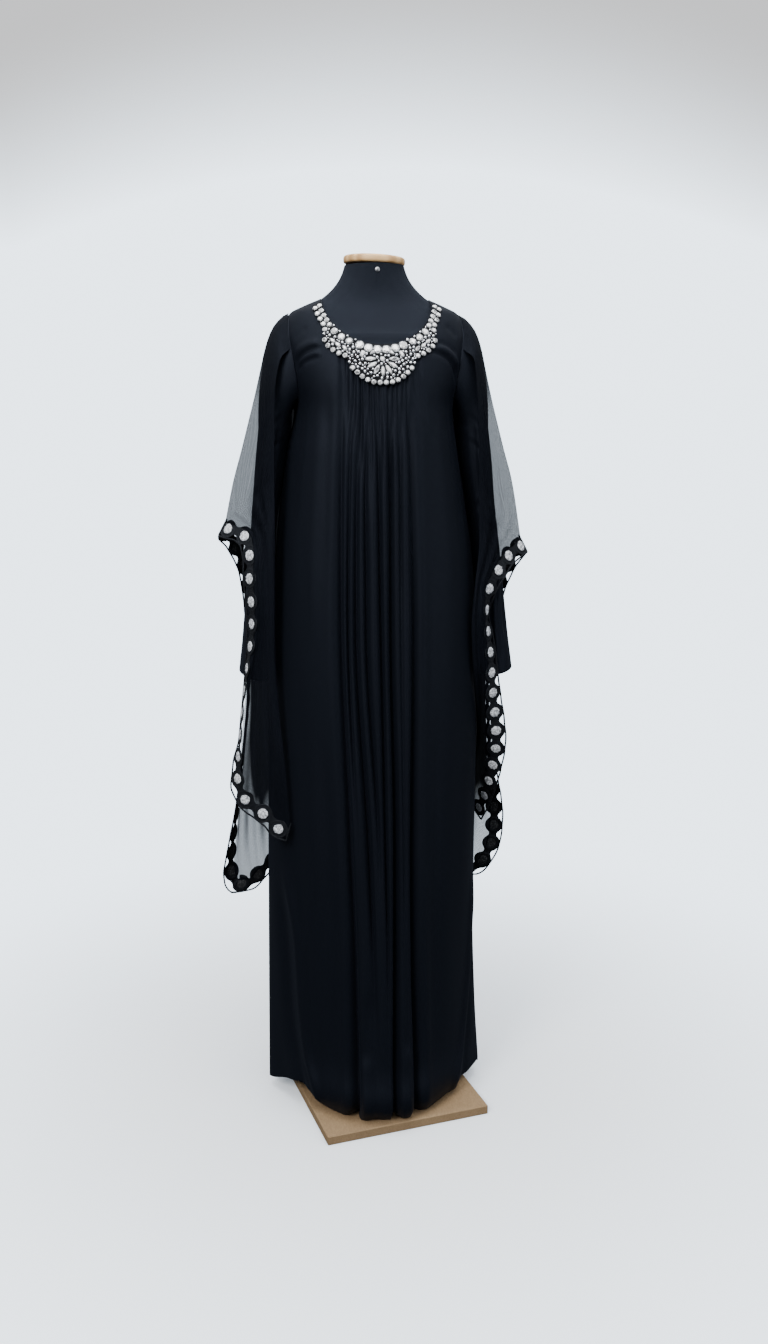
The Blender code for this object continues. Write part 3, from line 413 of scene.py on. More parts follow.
class Nodes:
    """Shader nodes of a material or a world."""

    def __init__(self, owner):
        owner.use_nodes = True
        self.owner = owner
        self.tree = owner.node_tree

    def link(self, output, target):
        self.tree.links.new(output, target)

    def add(self, kind, inputs=None, **settings):
        """A node with its inputs linked or set."""
        made = self.tree.nodes.new("ShaderNode" + kind)
        for key, value in settings.items():
            setattr(made, key, value)
        for key, value in (inputs or {}).items():
            if isinstance(value, bpy.types.NodeSocket):
                self.link(value, made.inputs[key])
            else:
                made.inputs[key].default_value = value
        return made

    def place(self, space="Object"):
        return self.add("TexCoord").outputs[space]

    def cloth(self):
        return self.add("UVMap", uv_map="cloth").outputs["UV"]

    def maths(self, operation, *values):
        return self.add("Math", dict(enumerate(values)), operation=operation).outputs[0]

    def vectors(self, operation, *values):
        return self.add("VectorMath", dict(enumerate(values)), operation=operation).outputs["Vector"]

    def noise(self, where, scale, detail=3.0, roughness=0.55):
        inputs = {"Vector": where, "Scale": scale, "Detail": detail, "Roughness": roughness}
        return self.add("TexNoise", inputs).outputs["Fac"]

    def waves(self, where, scale, distortion, way, detail=2.0):
        inputs = {"Vector": where, "Scale": scale, "Distortion": distortion, "Detail": detail}
        return self.add("TexWave", inputs, wave_type="BANDS", bands_direction=way).outputs["Fac"]

    def cells(self, where, scale):
        return self.add("TexVoronoi", {"Vector": where, "Scale": scale}).outputs["Distance"]

    def attribute(self, name):
        return self.add("Attribute", attribute_name=name).outputs["Fac"]

    def mapped(self, value, start, end, high=(0.0, 1.0), kind="LINEAR"):
        """A value from start to end, mapped to the two ends of high."""
        inputs = {"Value": value, "From Min": start, "From Max": end, "To Min": high[0], "To Max": high[1]}
        return self.add("MapRange", inputs, interpolation_type=kind).outputs["Result"]

    def blend(self, factor, low, high, start=0.0, end=1.0):
        """Colour from low to high as the factor goes from start to end."""
        mixed = self.add("Mix", {"Factor": self.mapped(factor, start, end)}, data_type="RGBA")
        mixed.inputs[6].default_value = (*low, 1)
        mixed.inputs[7].default_value = (*high, 1)
        return mixed.outputs[2]


class Look(Nodes):
    """A Principled material in the making, with its fixed values set on its own sockets."""

    def __init__(self, name, roughness, specular=0.5, metallic=0.0, **sockets):
        super().__init__(bpy.data.materials.new(name))
        self.shader = self.tree.nodes["Principled BSDF"]
        sockets.update(Roughness=roughness, Metallic=metallic, Specular_IOR_Level=specular)
        for key, value in sockets.items():
            self.shader.inputs[key.replace("_", " ")].default_value = value

    def paint(self, *blend):
        self.link(self.blend(*blend), self.shader.inputs["Base Color"])

    def bump(self, height, distance):
        made = self.add("Bump", {"Height": height, "Distance": distance, "Strength": 1.0})
        self.link(made.outputs["Normal"], self.shader.inputs["Normal"])


COOL = (0.66, 0.76, 1.0, 1)


def jersey_material():
    """Fine black knit: narrow wales with small stitches, a soft nap and faint unevenness."""
    made = Look("black_jersey", 0.58, 0.11, Specular_Tint=COOL, Sheen_Weight=0.010,
                Sheen_Roughness=0.5, Sheen_Tint=(0.55, 0.68, 1.0, 1))
    cloth = made.cloth()
    wales = made.waves(cloth, 330.0, 0.25, "X", 1.0)
    courses = made.waves(cloth, 260.0, 0.3, "Y", 1.0)
    stitches = made.maths("MULTIPLY_ADD", courses, 0.35, wales)
    nap = made.noise(cloth, 900.0, 2.0)
    made.bump(made.maths("MULTIPLY_ADD", nap, 0.8, stitches), 0.000025)
    streaks = made.noise(made.vectors("MULTIPLY", cloth, (40.0, 5.0, 1.0)), 1.0, 1.5)
    made.paint(streaks, (0.00245, 0.0031, 0.0050), (0.00270, 0.0034, 0.0054), 0.3, 0.7)
    return made.owner


NET_PITCH = 0.0016
NET_SLANT = 0.58
NET_THREAD = (0.13, 0.24)
NET_FILL, NET_SOLID, NET_UNEVEN = 0.47, 0.68, 0.06


def net_material():
    """Sheer black net: two crossing sets of fine threads, closer where it is gathered."""
    made = Look("black_net", 0.62, 0.06, Specular_Tint=COOL)
    cloth = made.cloth()
    axes = made.add("SeparateXYZ", {"Vector": made.vectors("MULTIPLY", cloth, (1 / NET_PITCH,) * 3)})
    threads = []
    for way in ("ADD", "SUBTRACT"):
        slant = made.maths("MULTIPLY", axes.outputs["Y"], NET_SLANT)
        place = made.maths("PINGPONG", made.maths(way, axes.outputs["X"], slant), 0.5)
        threads.append(made.mapped(place, *NET_THREAD, (1.0, 0.0), "SMOOTHSTEP"))
    thread = made.maths("MAXIMUM", *threads)
    blotches = made.noise(made.vectors("MULTIPLY", cloth, (1.0, 0.25, 1.0)), 260.0)
    open_share = made.maths("SUBTRACT", 1.0 - NET_FILL, made.maths("MULTIPLY", blotches, NET_UNEVEN))
    for cover in (made.maths("MULTIPLY", thread, NET_SOLID), made.attribute("gathered")):
        open_share = made.maths("MULTIPLY", open_share, made.maths("SUBTRACT", 1.0, cover))
    made.link(made.maths("SUBTRACT", 1.0, open_share), made.shader.inputs["Alpha"])
    made.shader.inputs["Base Color"].default_value = (0.0026, 0.0032, 0.0050, 1)
    made.bump(thread, 0.0001)
    return made.owner


def cord_material():
    """Black corded lace: thread wound over a core."""
    made = Look("black_cord", 0.50, 0.14, Specular_Tint=(0.8, 0.87, 1.0, 1), Sheen_Weight=0.01,
                Sheen_Roughness=0.4)
    place = made.place()
    fuzz = made.noise(place, 700.0)
    made.bump(made.maths("ADD", made.cells(place, 1500.0), fuzz), 0.00035)
    made.paint(fuzz, (0.0022, 0.0025, 0.0033), (0.0085, 0.0093, 0.0115), 0.35, 0.75)
    return made.owner


def disc_material():
    """White beaded disc: dull silver glints over white thread, with painted grey shade in its hollows."""
    made = Look("white_disc", 0.42, 0.5, 0.10, Coat_Weight=0.15, Coat_Roughness=0.2)
    place = made.place()
    crumple_and_shade = made.noise(place, 300.0, 4.0)
    made.bump(made.maths("MULTIPLY_ADD", made.cells(place, 900.0), -1.0, crumple_and_shade), 0.0010)
    # Painted shade: grey where the crumple is low, in its hollows, and white on its crests
    made.paint(crumple_and_shade, (0.17, 0.18, 0.20), (0.84, 0.86, 0.90), 0.36, 0.60)
    return made.owner


def disc_back_material():
    """Wrong side of the discs: black backing with some of the white thread coming through."""
    made = Look("disc_back", 0.6, 0.25)
    thread = made.noise(made.place(), 500.0)
    made.paint(thread, (0.006, 0.0065, 0.0075), (0.085, 0.088, 0.095), 0.50, 0.72)
    made.bump(thread, 0.0004)
    return made.owner


def stone_material():
    """Foil-backed cut stone; the colour of each facet is a painted reflection, near white on most facets and near
    black on the rest.
    """
    made = Look("clear_stone", 0.07, 0.8, 0.12, Coat_Weight=1.0, Coat_Roughness=0.03)
    # Base colour of each facet is a painted reflection, from near black to white
    made.paint(made.attribute("painted_facet_light"), (0.012, 0.013, 0.016), (1.0, 1.0, 1.0))
    return made.owner


def metal_material(name, colour, roughness):
    made = Look(name, roughness, metallic=1.0)
    wear = made.noise(made.place(), 300.0)
    made.paint(wear, [0.6 * c for c in colour], colour, 0.3, 0.6)
    made.bump(wear, 0.00008)
    return made.owner


def bib_ground_material():
    """Stiff black ground cloth under the stones."""
    made = Look("bib_ground", 0.7, 0.1)
    weave = made.cells(made.place(), 1400.0)
    made.bump(weave, 0.0002)
    made.paint(weave, (0.0020, 0.0023, 0.0030), (0.0060, 0.0065, 0.0080))
    return made.owner


def form_material():
    """Tight navy cover of the dress form: a close plain weave, a little dusty."""
    made = Look("navy_form_cloth", 0.82, 0.10, Sheen_Weight=0.012, Sheen_Roughness=0.5,
                Sheen_Tint=(0.6, 0.68, 0.85, 1))
    place = made.place()
    weave = [made.waves(place, 420.0, 0.2, way) for way in ("X", "Z")]
    made.bump(made.maths("ADD", *weave), 0.00010)
    dust = made.noise(place, 9.0, 5.0)
    made.paint(dust, (0.0062, 0.0082, 0.0132), (0.0082, 0.0108, 0.0170), 0.3, 0.7)
    return made.owner


def wood_material():
    """Bare turned wood with growth rings and fine pores."""
    made = Look("cap_wood", 0.52, 0.4)
    place = made.place()
    long_way = made.vectors("MULTIPLY", place, (1.0, 6.0, 1.0))
    warp = made.maths("MULTIPLY", made.noise(long_way, 12.0), 0.05)
    rings = made.waves(made.vectors("ADD", long_way, warp), 3.2, 3.5, "Y", 3.0)
    pores = made.noise(made.vectors("MULTIPLY", place, (40.0, 900.0, 900.0)), 1.0, 2.0)
    mixed = made.maths("MULTIPLY_ADD", pores, 0.35, rings)
    made.paint(mixed, (0.66, 0.42, 0.20), (0.44, 0.25, 0.105), 0.25, 1.2)
    made.bump(mixed, 0.00012)
    return made.owner


def board_material():
    """Raw fibreboard: pale brown with short fibres and a few darker flecks."""
    made = Look("fibreboard", 0.85, 0.15)
    place = made.place()
    fibres = made.noise(made.vectors("MULTIPLY", place, (1.0, 0.35, 1.0)), 420.0, 5.0, 0.7)
    flecks = made.maths("LESS_THAN", made.cells(place, 260.0), 0.12)
    mixed = made.maths("MULTIPLY_ADD", made.noise(place, 14.0), 0.6, fibres)
    mixed = made.maths("MULTIPLY_ADD", flecks, -0.25, mixed)
    made.paint(mixed, (0.155, 0.100, 0.053), (0.275, 0.187, 0.104), 0.45, 1.15)
    made.bump(fibres, 0.0003)
    return made.owner


JERSEY = jersey_material()
NET = net_material()
CORD = cord_material()
DISC = disc_material()
DISC_BACK = disc_back_material()
CLEAR = stone_material()
SILVER = metal_material("silver_setting", (0.16, 0.165, 0.175), 0.32)
BEAD_SILVER = metal_material("silver_bead", (0.80, 0.81, 0.84), 0.22)
GROUND = bib_ground_material()
NAVY = form_material()
CAP_WOOD = wood_material()
FIBREBOARD = board_material()
STEEL = metal_material("tack_steel", (0.50, 0.51, 0.52), 0.35)


def place_piece(part, slot, node=None):
    """Puts a piece on the part's only body, in its slot, in the place of a solid if it has one."""
    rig.ride(part, "root")
    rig.slot(part, slot)
    if node:
        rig.replaces(part, node)
    return part


# The stand: form, neck cap, tack, pole and board

def turned(name, profile, sides, material):
    """Closed turned solid: its profile runs from the edge of its foot to the edge of its top."""
    rings = [ring(radius, height, circle(sides)) for radius, height in profile]
    return mesh_object(name, rings, capped_faces(len(profile), sides), [material], sharp=35)


def rounded(radius, low, high, edge):
    """Profile of a disc with rounded rims."""
    bend = np.linspace(0, math.pi / 2, 5)
    foot = [(radius - edge + edge * math.sin(b), low + edge - edge * math.cos(b)) for b in bend]
    head = [(radius - edge + edge * math.cos(b), high - edge + edge * math.sin(b)) for b in bend]
    return foot + head


FORM_SEAMS = np.radians([90, -90, 0, 180, 55, 125, -55, -125])
FORM_SEAM_DEPTH, FORM_SEAM_WIDTH = 0.0002, 0.0016
FORM_EASING = 90
FORM_UNDER_ROBE = 0.006
CAP_EDGE, CAP_TILT = 0.0046, math.radians(2.5)
TACK_RISE = 0.0016


def make_form():
    """Covered form: smooth all round, with sewn seams at the middle, the sides and the panels."""
    heights = np.concatenate([np.linspace(FORM_FOOT, 1.46, 90), np.linspace(1.462, FORM_TOP, 60)])
    near = (FORM_SEAMS[:, None] + np.radians([-1.0, 0.0, 1.0])).ravel() % TWO_PI
    angles = np.unique(np.round(np.concatenate([circle(120), near]), 4))
    points = outline(FORM, heights[:, None], -angles[None, :])
    high = ramp(heights[1:-1], 1.44, 1.48) * ramp(-heights[1:-1], -FORM_TOP, -1.57)
    for _ in range(FORM_EASING):
        eased = (points[:-2] + 2 * points[1:-1] + points[2:]) / 4
        points[1:-1] += (eased - points[1:-1]) * (high[:, None, None] * np.array((1, 1, 0)))
    normals = grid_normals(points, 1, wrap=True)
    if (normals[:, 0, 0] < 0).all():
        normals = -normals
    groove = np.zeros(points.shape[:2])
    for seam in FORM_SEAMS:
        apart = np.abs((angles + seam + math.pi) % TWO_PI - math.pi)
        groove += hump(np.linalg.norm(points[..., :2], axis=-1) * apart, FORM_SEAM_WIDTH)
    hidden = FORM_UNDER_ROBE * ramp(-heights, -1.437, -1.415)[:, None]
    points = points - normals * (FORM_SEAM_DEPTH * groove + hidden)[..., None]
    return mesh_object("form_cover", points, capped_faces(*points.shape[:2]), [NAVY], sharp=50)


def make_stand():
    place_piece(make_form(), "navy_form_cloth", "form_body")
    low = FORM_TOP + SEAM
    cap = turned("neck_cap", rounded(CAP_RADIUS, low, low + CAP_HEIGHT, CAP_EDGE), 96, CAP_WOOD)
    cap.data.transform(Matrix.Translation((0, 0, CAP_LIFT + low)) @ Matrix.Rotation(CAP_TILT, 4, "Y")
                       @ Matrix.Translation((0, 0, -low)))
    place_piece(cap, "cap_wood", "form_neck_cap")
    front = outline(FORM, TACK_HEIGHT, math.pi / 2)[1]
    dome = [(TACK_RADIUS * math.cos(bend), TACK_RISE * math.sin(bend))
            for bend in np.linspace(0.25, 1.45, 6)]
    tack = turned("tack_head", [(TACK_RADIUS, 0.0), *dome], 28, STEEL)
    tack.data.transform(Matrix.Rotation(math.pi / 2, 4, "X"))
    tack.data.transform(Matrix.Translation((0, front - 2 * SEAM, TACK_HEIGHT)))
    place_piece(tack, "tack_steel", "neck_tack")
    for node, material in (("base_board", FIBREBOARD), ("stand_pole", CAP_WOOD)):
        for slot in frame["nodes"][node].material_slots:
            slot.material = material


# The dress

# Each main fold of the front is a row: its place and then its depth at the fold heights, and its
# width. The back's folds are a place, a depth and a width at the hem, and lean inwards.
FOLD_HEIGHTS = np.array((0.02, 0.10, 0.33, 0.56, 0.945, 1.17, 1.335))
FRONT_FOLDS = numbers("""
-.060 -.060 -.061 -.067 -.079 -.076 -.071         .012 .012 .010 .008 .007 .005 .003   .0085
-.044 -.044 -.046 -.052 -.066 -.062 -.055         0 0 .001 .002 .005 .004 .003         .0055
-.021 -.021 -.025 -.033 -.052 -.049 -.040         .001 .0015 .003 .006 .007 .005 .003  .0080
-.008 -.008 -.010 -.014 -.033 -.033 -.026         0 0 .001 .003 .006 .005 .003         .0060
.002 .002 .002 -.001 -.007 -.009 -.0116           .002 .002 .003 .005 .007 .005 .003   .0055
.0165 .0165 .0173 .0176 .0111 .0119 .0157         .016 .016 .014 .012 .009 .006 .003   .0065
.038 .038 .034 .033 .030 .030 .033                0 0 .002 .003 .003 .004 .003         .0060
.061 .061 .055 .052 .0543 .0515 .050              .009 .010 .011 .011 .008 .006 .003   .0090
""", 15)
BACK_SPREAD = np.array((1.0, 0.99, 0.95, 0.9, 0.8, 0.7, 0.62))
BACK_DEPTH = np.array((1.0, 1.0, 0.95, 0.8, 0.5, 0.3, 0.12))
BACK_HEM = numbers("""
-.112 .013 .013  -.066 .017 .012  -.020 .013 .010  .024 .016 .011  .072 .012 .011  .118 .017 .013
""", 3)
BACK_FOLDS = np.array([(*(place * BACK_SPREAD), *(depth * BACK_DEPTH), width)
                       for place, depth, width in BACK_HEM])
FOLDS_START, FOLDS_FULL = 1.400, ARMPIT
ROLL_SHARE, ROLL_PLACE, ROLL_WIDTH = 0.16, 2.1, 0.9
# The sharp bottom of each main fold: how much narrower than the fold, and how deep by height
PINCH_NARROWING = 1.9
PINCH = table("""
z depth
.02 .011  .60 .0105  .95 .0090  1.15 .0065  1.40 .0045
""")
CENTRE_EDGE, CENTRE_MARGIN = 0.092, 0.012
CENTRE_NECK_ANGLE = math.radians(62)
NECK_CROWDING = 1.7
ARMHOLE = table("""
z angle
1.335 0  1.342 12  1.355 19  1.385 24  1.42 25  1.455 23  1.480 18  1.495 10  1.501 0
""")

# Rows and columns of the cloth's surface
LOWER_ROWS = np.concatenate([
    np.linspace(HEM, 0.10, 22), np.linspace(0.106, 0.35, 26)[1:], np.linspace(0.35, 1.05, 54)[1:],
    np.linspace(1.05, ARMPIT, 46)[1:]])
UPPER_STEPS = 1 - (1 - np.linspace(0, 1, 52)[1:]) ** 1.15
CENTRE_COLUMNS = 116
SIDE_COLUMNS, NECK_SIDE_COLUMNS = 38, 18

# Gathers that the bib holds: place at the seam, lean towards the middle, how far they run down,
# depth and width. They fade out below as the main folds take over.
GATHER_DEPTH = 2.4
GATHERS = numbers("""
-.0700 .004 .110 .0016 .0042    -.0610 -.004 .190 .0020 .0034   -.0480 -.006 .150 .0022 .0030
-.0370 -.004 .230 .0024 .0028   -.0300 -.003 .110 .0018 .0024   -.0215 -.001 .260 .0026 .0028
-.0145 .000 .120 .0018 .0024    -.0050 .001 .200 .0024 .0028    .0020 .001 .100 .0016 .0024
.0090 .000 .280 .0026 .0027     .0190 .003 .140 .0020 .0026     .0265 .001 .210 .0024 .0030
.0365 .003 .120 .0018 .0028     .0430 .004 .180 .0022 .0032     .0560 .008 .100 .0014 .0040
.0640 .012 .130 .0014 .0046
""", 5)


def creases(text):
    """Soft creases: height (negative for a trough), width and lean of each, and its path as x and z."""
    rows = [np.array(row.split(), float) for row in text.split(";")]
    return [(*row[:3], row[3:].reshape(-1, 2)) for row in rows]


FRONT_CREASES = creases("""
-.0034 .0042 .5  -.094 1.4395 -.104 1.4385 -.1145 1.4365 -.1292 1.4292 -.1393 1.4203
    -.1467 1.4072 -.15 1.3906 -.148 1.37;
.003 .0065 0  -.101 1.4468 -.109 1.4463 -.1272 1.4419 -.1424 1.429 -.151 1.413;
-.0026 .004 .5  -.099 1.4225 -.1112 1.4211 -.1262 1.4164 -.1378 1.4084 -.1444 1.3952 -.145 1.378;
.002 .006 0  -.101 1.43 -.118 1.427 -.133 1.419 -.143 1.405;
-.0014 .005 0  -.123 1.474 -.132 1.468 -.1416 1.4596 -.15 1.45;
-.0036 .0042 .5  .068 1.427 .076 1.429 .088 1.4302 .1027 1.4276 .1166 1.4208 .1278 1.411
    .136 1.3942 .1418 1.3671;
.0034 .006 0  .096 1.4388 .101 1.4385 .108 1.4372 .122 1.431 .135 1.418 .143 1.4;
-.002 .004 0  .096 1.448 .112 1.445 .127 1.438 .14 1.425;
-.0016 .005 0  .118 1.478 .13 1.469 .142 1.456;
-.0022 .0075 0  -.138 1.39 -.134 1.35 -.139 1.29 -.15 1.2 -.158 1.1;
-.002 .007 0  .132 1.38 .129 1.34 .134 1.27 .143 1.19 .151 1.09;
.0018 .01 0  -.104 1.4 -.108 1.33 -.116 1.2 -.124 1.05 -.128 .9;
-.0015 .008 0  -.092 1.385 -.093 1.3 -.098 1.18 -.103 1.02;
.0016 .011 0  .098 1.39 .104 1.3 .114 1.15 .122 .98;
-.003 .011 0  -.112 .8 -.108 .6 -.1 .4 -.096 .2 -.094 .06;
-.0024 .01 0  .098 .86 .096 .62 .094 .38 .094 .15 .096 .05;
.0055 .0085 .6  -.185 .53 -.178 .465 -.169 .41 -.1613 .35 -.1558 .23 -.1465 .11 -.1344 .05 -.128 .018;
-.006 .009 0  -.193 .47 -.186 .4 -.179 .3 -.174 .18 -.164 .08 -.155 .018;
.005 .0075 -.6  .19 .48 .187 .38 .183 .29 .1742 .19 .1611 .095 .1455 .034 .142 .018;
-.0045 .008 0  .196 .38 .193 .28 .186 .18 .176 .09 .168 .018;
-.003 .012 0  -.026 .3 -.04 .18 -.046 .08 -.046 .018;
.006 .013 0  -.04 .16 -.041 .09 -.041 .04 -.041 .018;
.005 .011 0  .038 .18 .039 .09 .04 .04 .04 .018
""")
BACK_CREASES = creases("""
-.0022 .005 .4  -.03 1.452 -.062 1.446 -.095 1.43 -.122 1.4 -.134 1.36;
.002 .007 0  -.04 1.462 -.08 1.452 -.112 1.43 -.135 1.395;
-.0022 .005 .4  .026 1.448 .06 1.444 .096 1.424 .122 1.392 .132 1.35;
.002 .007 0  .04 1.46 .082 1.45 .114 1.426 .136 1.39;
-.0018 .006 0  -.052 1.47 -.056 1.4 -.06 1.3 -.066 1.15;
-.0018 .006 0  .048 1.465 .052 1.39 .058 1.28 .066 1.12;
-.0022 .008 0  -.104 1.33 -.118 1.2 -.13 1.06 -.14 .9;
-.002 .008 0  .1 1.34 .114 1.21 .128 1.07 .138 .9;
.0024 .012 0  -.088 1.25 -.094 1.05 -.1 .8 -.104 .5;
.0024 .012 0  .09 1.24 .096 1.04 .102 .8 .108 .52;
-.004 .01 0  -.16 .7 -.162 .45 -.16 .2 -.156 .018;
-.004 .01 0  .156 .76 .16 .5 .158 .23 .154 .018;
.004 .014 0  -.045 .38 -.044 .2 -.043 .08 -.043 .018;
.004 .014 0  .048 .42 .048 .22 .048 .08 .048 .018
""")


def crease_relief(x, z, lines):
    """How far soft creases lift the cloth at (x, z) in front view."""
    lift = np.zeros(x.shape)
    for height, width, lean, path in lines:
        run = run_of(path)
        fine = np.linspace(0, run[-1], 60)
        line = np.stack([smooth(run, path[:, 0], fine), smooth(run, path[:, 1], fine)], axis=1)
        low, high = line.min(axis=0) - 4 * width, line.max(axis=0) + 4 * width
        near = (x > low[0]) & (x < high[0]) & (z > low[1]) & (z < high[1])
        here = np.stack([x[near], z[near]], axis=1)
        best = np.full(len(here), 1e9)
        offset, share = np.zeros((2, len(here)))
        for k, (start, end) in enumerate(zip(line[:-1], line[1:])):
            way = end - start
            t = np.clip((here - start) @ way / (way @ way), 0, 1)
            gap = here - start - t[:, None] * way
            apart = np.linalg.norm(gap, axis=1)
            closer = apart < best
            best[closer] = apart[closer]
            side = np.sign(way[0] * gap[:, 1] - way[1] * gap[:, 0])
            offset[closer] = (side * apart)[closer]
            share[closer] = ((k + t) / (len(line) - 1))[closer]
        end_fade = ramp(1 - share, 0.0, 0.25) if path[-1][1] > 0.02 else 1
        across = offset / width
        lift[near] += height * ramp(share, 0.0, 0.22) * end_fade * hump(across, 1) * (1 + lean * across)
    return lift


def bib_edge(x):
    """Height of the bib's lower edge at x."""
    edge = bib_point(np.linspace(0, 40, 60), 1.0)
    order = np.argsort(edge[:, 0])
    return np.interp(abs(x), edge[order, 0], edge[order, 1])


def gathers(x, z):
    """Fine gathers below the bib's lower edge."""
    push = np.zeros(x.shape)
    for place, lean, length, depth, width in GATHERS:
        top = bib_edge(place)
        down = np.clip((top - z) / length, 0, 2)
        fade = (1 - ramp(down, 0.35, 1.0)) * ramp(z, top + 0.030, top)
        push += GATHER_DEPTH * depth * fade * hump(x - place - lean * down, width * (1 + 0.8 * down))
    return push


def folds(x, z, rows):
    """How far the main folds push the cloth in at (x, z), with a rounded roll beside each trough."""
    push = np.zeros(x.shape)
    fade = np.clip((FOLDS_START - z) / (FOLDS_START - FOLDS_FULL), 0, 1)
    sharp = look(PINCH, "depth", z)
    for row in rows:
        depth = smooth(FOLD_HEIGHTS, row[7:14], z)
        across = (x - smooth(FOLD_HEIGHTS, row[:7], z)) / row[14]
        roll = hump(np.abs(across) - ROLL_PLACE, ROLL_WIDTH)
        narrow = sharp * hump(across, 1 / PINCH_NARROWING) * ramp(depth, 0.0015, 0.005)
        push += fade * (depth * (hump(across, 1) - ROLL_SHARE * roll) + narrow)
    return push


def centre_places(z, rows):
    """Places across the middle of a panel, with the same columns along each main fold at any height."""
    places = np.array([smooth(FOLD_HEIGHTS, row[:7], z) for row in rows])
    edge = max(CENTRE_EDGE, abs(places).max() + CENTRE_MARGIN)
    marks = rows[:, :7].mean(axis=1)
    marks /= abs(marks).max() + CENTRE_MARGIN
    return np.interp(np.linspace(-1, 1, CENTRE_COLUMNS + 1), [-1, *marks, 1], [-edge, *places, edge])


def side_places(z, start, side):
    """Places from the middle part of a panel out to the side seam, evenly along the cloth."""
    half = half_width(DRESS, side, z)
    angles = np.linspace(math.acos(start / half), 0, 120)
    run = run_of(outline(DRESS, z, angles if side > 0 else math.pi - angles))
    wanted = np.linspace(0, run[-1], SIDE_COLUMNS + 1)[1:]
    return side * half * np.cos(np.interp(wanted, run, angles))


def row_places(z, rows):
    centre = centre_places(z, rows)
    return np.concatenate([side_places(z, -centre[0], -1)[::-1], centre, side_places(z, centre[-1], 1)])


def top_edge(drop):
    """Neckline and shoulder seams from one armhole to the other, as (x, z) for each column."""
    places = np.linspace(-1, 1, CENTRE_COLUMNS + 1) * CENTRE_NECK_ANGLE
    crowded = 1 - (1 - np.linspace(0, 1, NECK_SIDE_COLUMNS + 1)[1:]) ** NECK_CROWDING
    extra = CENTRE_NECK_ANGLE + (math.pi / 2 - CENTRE_NECK_ANGLE) * crowded
    angles = np.concatenate([-extra[::-1], places, extra])
    neck = np.stack([NECK_HALF * np.sin(angles), NECK_TOP - drop * np.cos(angles)], axis=1)
    rise = np.linspace(NECK_TOP, ARMHOLE["z"][-1], SIDE_COLUMNS - NECK_SIDE_COLUMNS + 1)[1:]
    shoulder = np.stack([look(DRESS, "right", rise), rise], axis=1)
    return np.concatenate([shoulder[::-1] * (-1, 1), neck, shoulder])


def panel(rows, face, drop):
    """Plain points of a front or back panel, row by row from the hem to the top edge."""
    levels = [row_places(z, rows) for z in LOWER_ROWS]
    points = [on_body(DRESS, x, np.full_like(x, z), face) for x, z in zip(levels, LOWER_ROWS)]
    start = points[-1][:, 0]
    top = top_edge(drop)
    weight = np.zeros(len(start))
    weight[-SIDE_COLUMNS:] = np.linspace(0, 1, SIDE_COLUMNS + 1)[1:]
    weight[:SIDE_COLUMNS] = weight[-SIDE_COLUMNS:][::-1]
    for step in UPPER_STEPS:
        x = start + (top[:, 0] - start) * step
        z = ARMPIT + (top[:, 1] - ARMPIT) * step
        for side, column in ((-1, 0), (1, -1)):
            angle = np.radians(look(ARMHOLE, "angle", z[column]))
            reach = half_width(DRESS, side, z[column]) * np.cos(angle)
            x = np.where(np.sign(x) == side, x + weight * (side * reach - x[column]), x)
        points.append(on_body(DRESS, top[:, 0] if step == 1.0 else x, z, face))
    return np.array(points)


RIPPLE = 0.0010


def creased(points, rows, face, lines):
    """Panel points pushed in and out by its folds, gathers and creases, still at its edges."""
    x, z = points[..., 0], points[..., 2]
    level = unit(grid_normals(points, face) * (1, 1, 0))
    upper = ramp(z, ARMPIT - 0.03, ARMPIT + 0.03)[..., None]
    way = unit(level + (body_normals(points, face) - level) * upper)
    height, columns = x.shape
    edge = np.minimum(np.arange(columns), np.arange(columns)[::-1])
    still = np.where(z < 1.25, ramp(edge, 0, 4), ramp(edge, 0, 9))
    relief = crease_relief(x, z, lines)
    if face > 0:
        relief -= gathers(x, z)
    ripple = RIPPLE * np.sin(x * 95 + 1.2 * np.sin(z * 4)) * np.sin(z * 3.1 + x * 9 + face)
    relief += ripple * ramp(1.30 - z, 0, 0.3)
    below_top = np.arange(height)[::-1, None]
    lift = relief * still * ramp(below_top, 0, 3) - folds(x, z, rows)
    return points + lift[..., None] * way


# How far the hem lifts off the floor at each place across, and how far the cloth tucks in there
HEM_LIFT = table("""
x lift
-.215 .002  -.205 .008  -.178 .028  -.155 .037  -.135 .028  -.116 .012  -.095 .002  -.070 0
-.060 .008  -.050 0     .008 0      .018 .012   .030 .004   .048 0      .090 0      .125 .004
.160 .012   .190 .014   .213 .012
""")
BACK_LIFT = 0.5
HEM_LIFT_REACH = 0.30
TUCK_REACH, TUCK_DEPTH = 0.036, 0.021
HEM_SWELL, SWELL_HEIGHT, SWELL_REACH = 0.009, 0.050, 0.035


def hang_hem(points, face):
    """Lifts the hem at the sides and rolls the cloth in just above its edge."""
    x, z = points[..., 0], points[..., 2]
    lift = look(HEM_LIFT, "lift", x[0], "x") * (1.0 if face > 0 else BACK_LIFT)
    points[..., 2] += lift * np.clip(1 - (z - HEM) / HEM_LIFT_REACH, 0, 1) ** 2
    roll = np.clip(1 - (z - HEM) / TUCK_REACH, 0, 1) ** 2
    swell = hump(z - HEM - SWELL_HEIGHT, SWELL_REACH)
    points[..., 1] += face * (TUCK_DEPTH * roll - HEM_SWELL * swell) * ramp(-np.abs(x), -0.20, -0.14)


def make_panel(half, rows, face, drop, lines):
    """Front or back of the dress, with the plain points that it was made from."""
    plain = panel(rows, face, drop)
    points = creased(plain, rows, face, lines)
    hang_hem(points, face)
    points[..., 1] = np.where(np.abs(plain[..., 1]) < SEAM, -face * SEAM / 2, points[..., 1])
    cloth = grid_object("robe_" + half, points, JERSEY, face)
    thicken(cloth, JERSEY_THICKNESS)
    return place_piece(cloth, "black_jersey", "dress_" + half), plain


# The sleeves

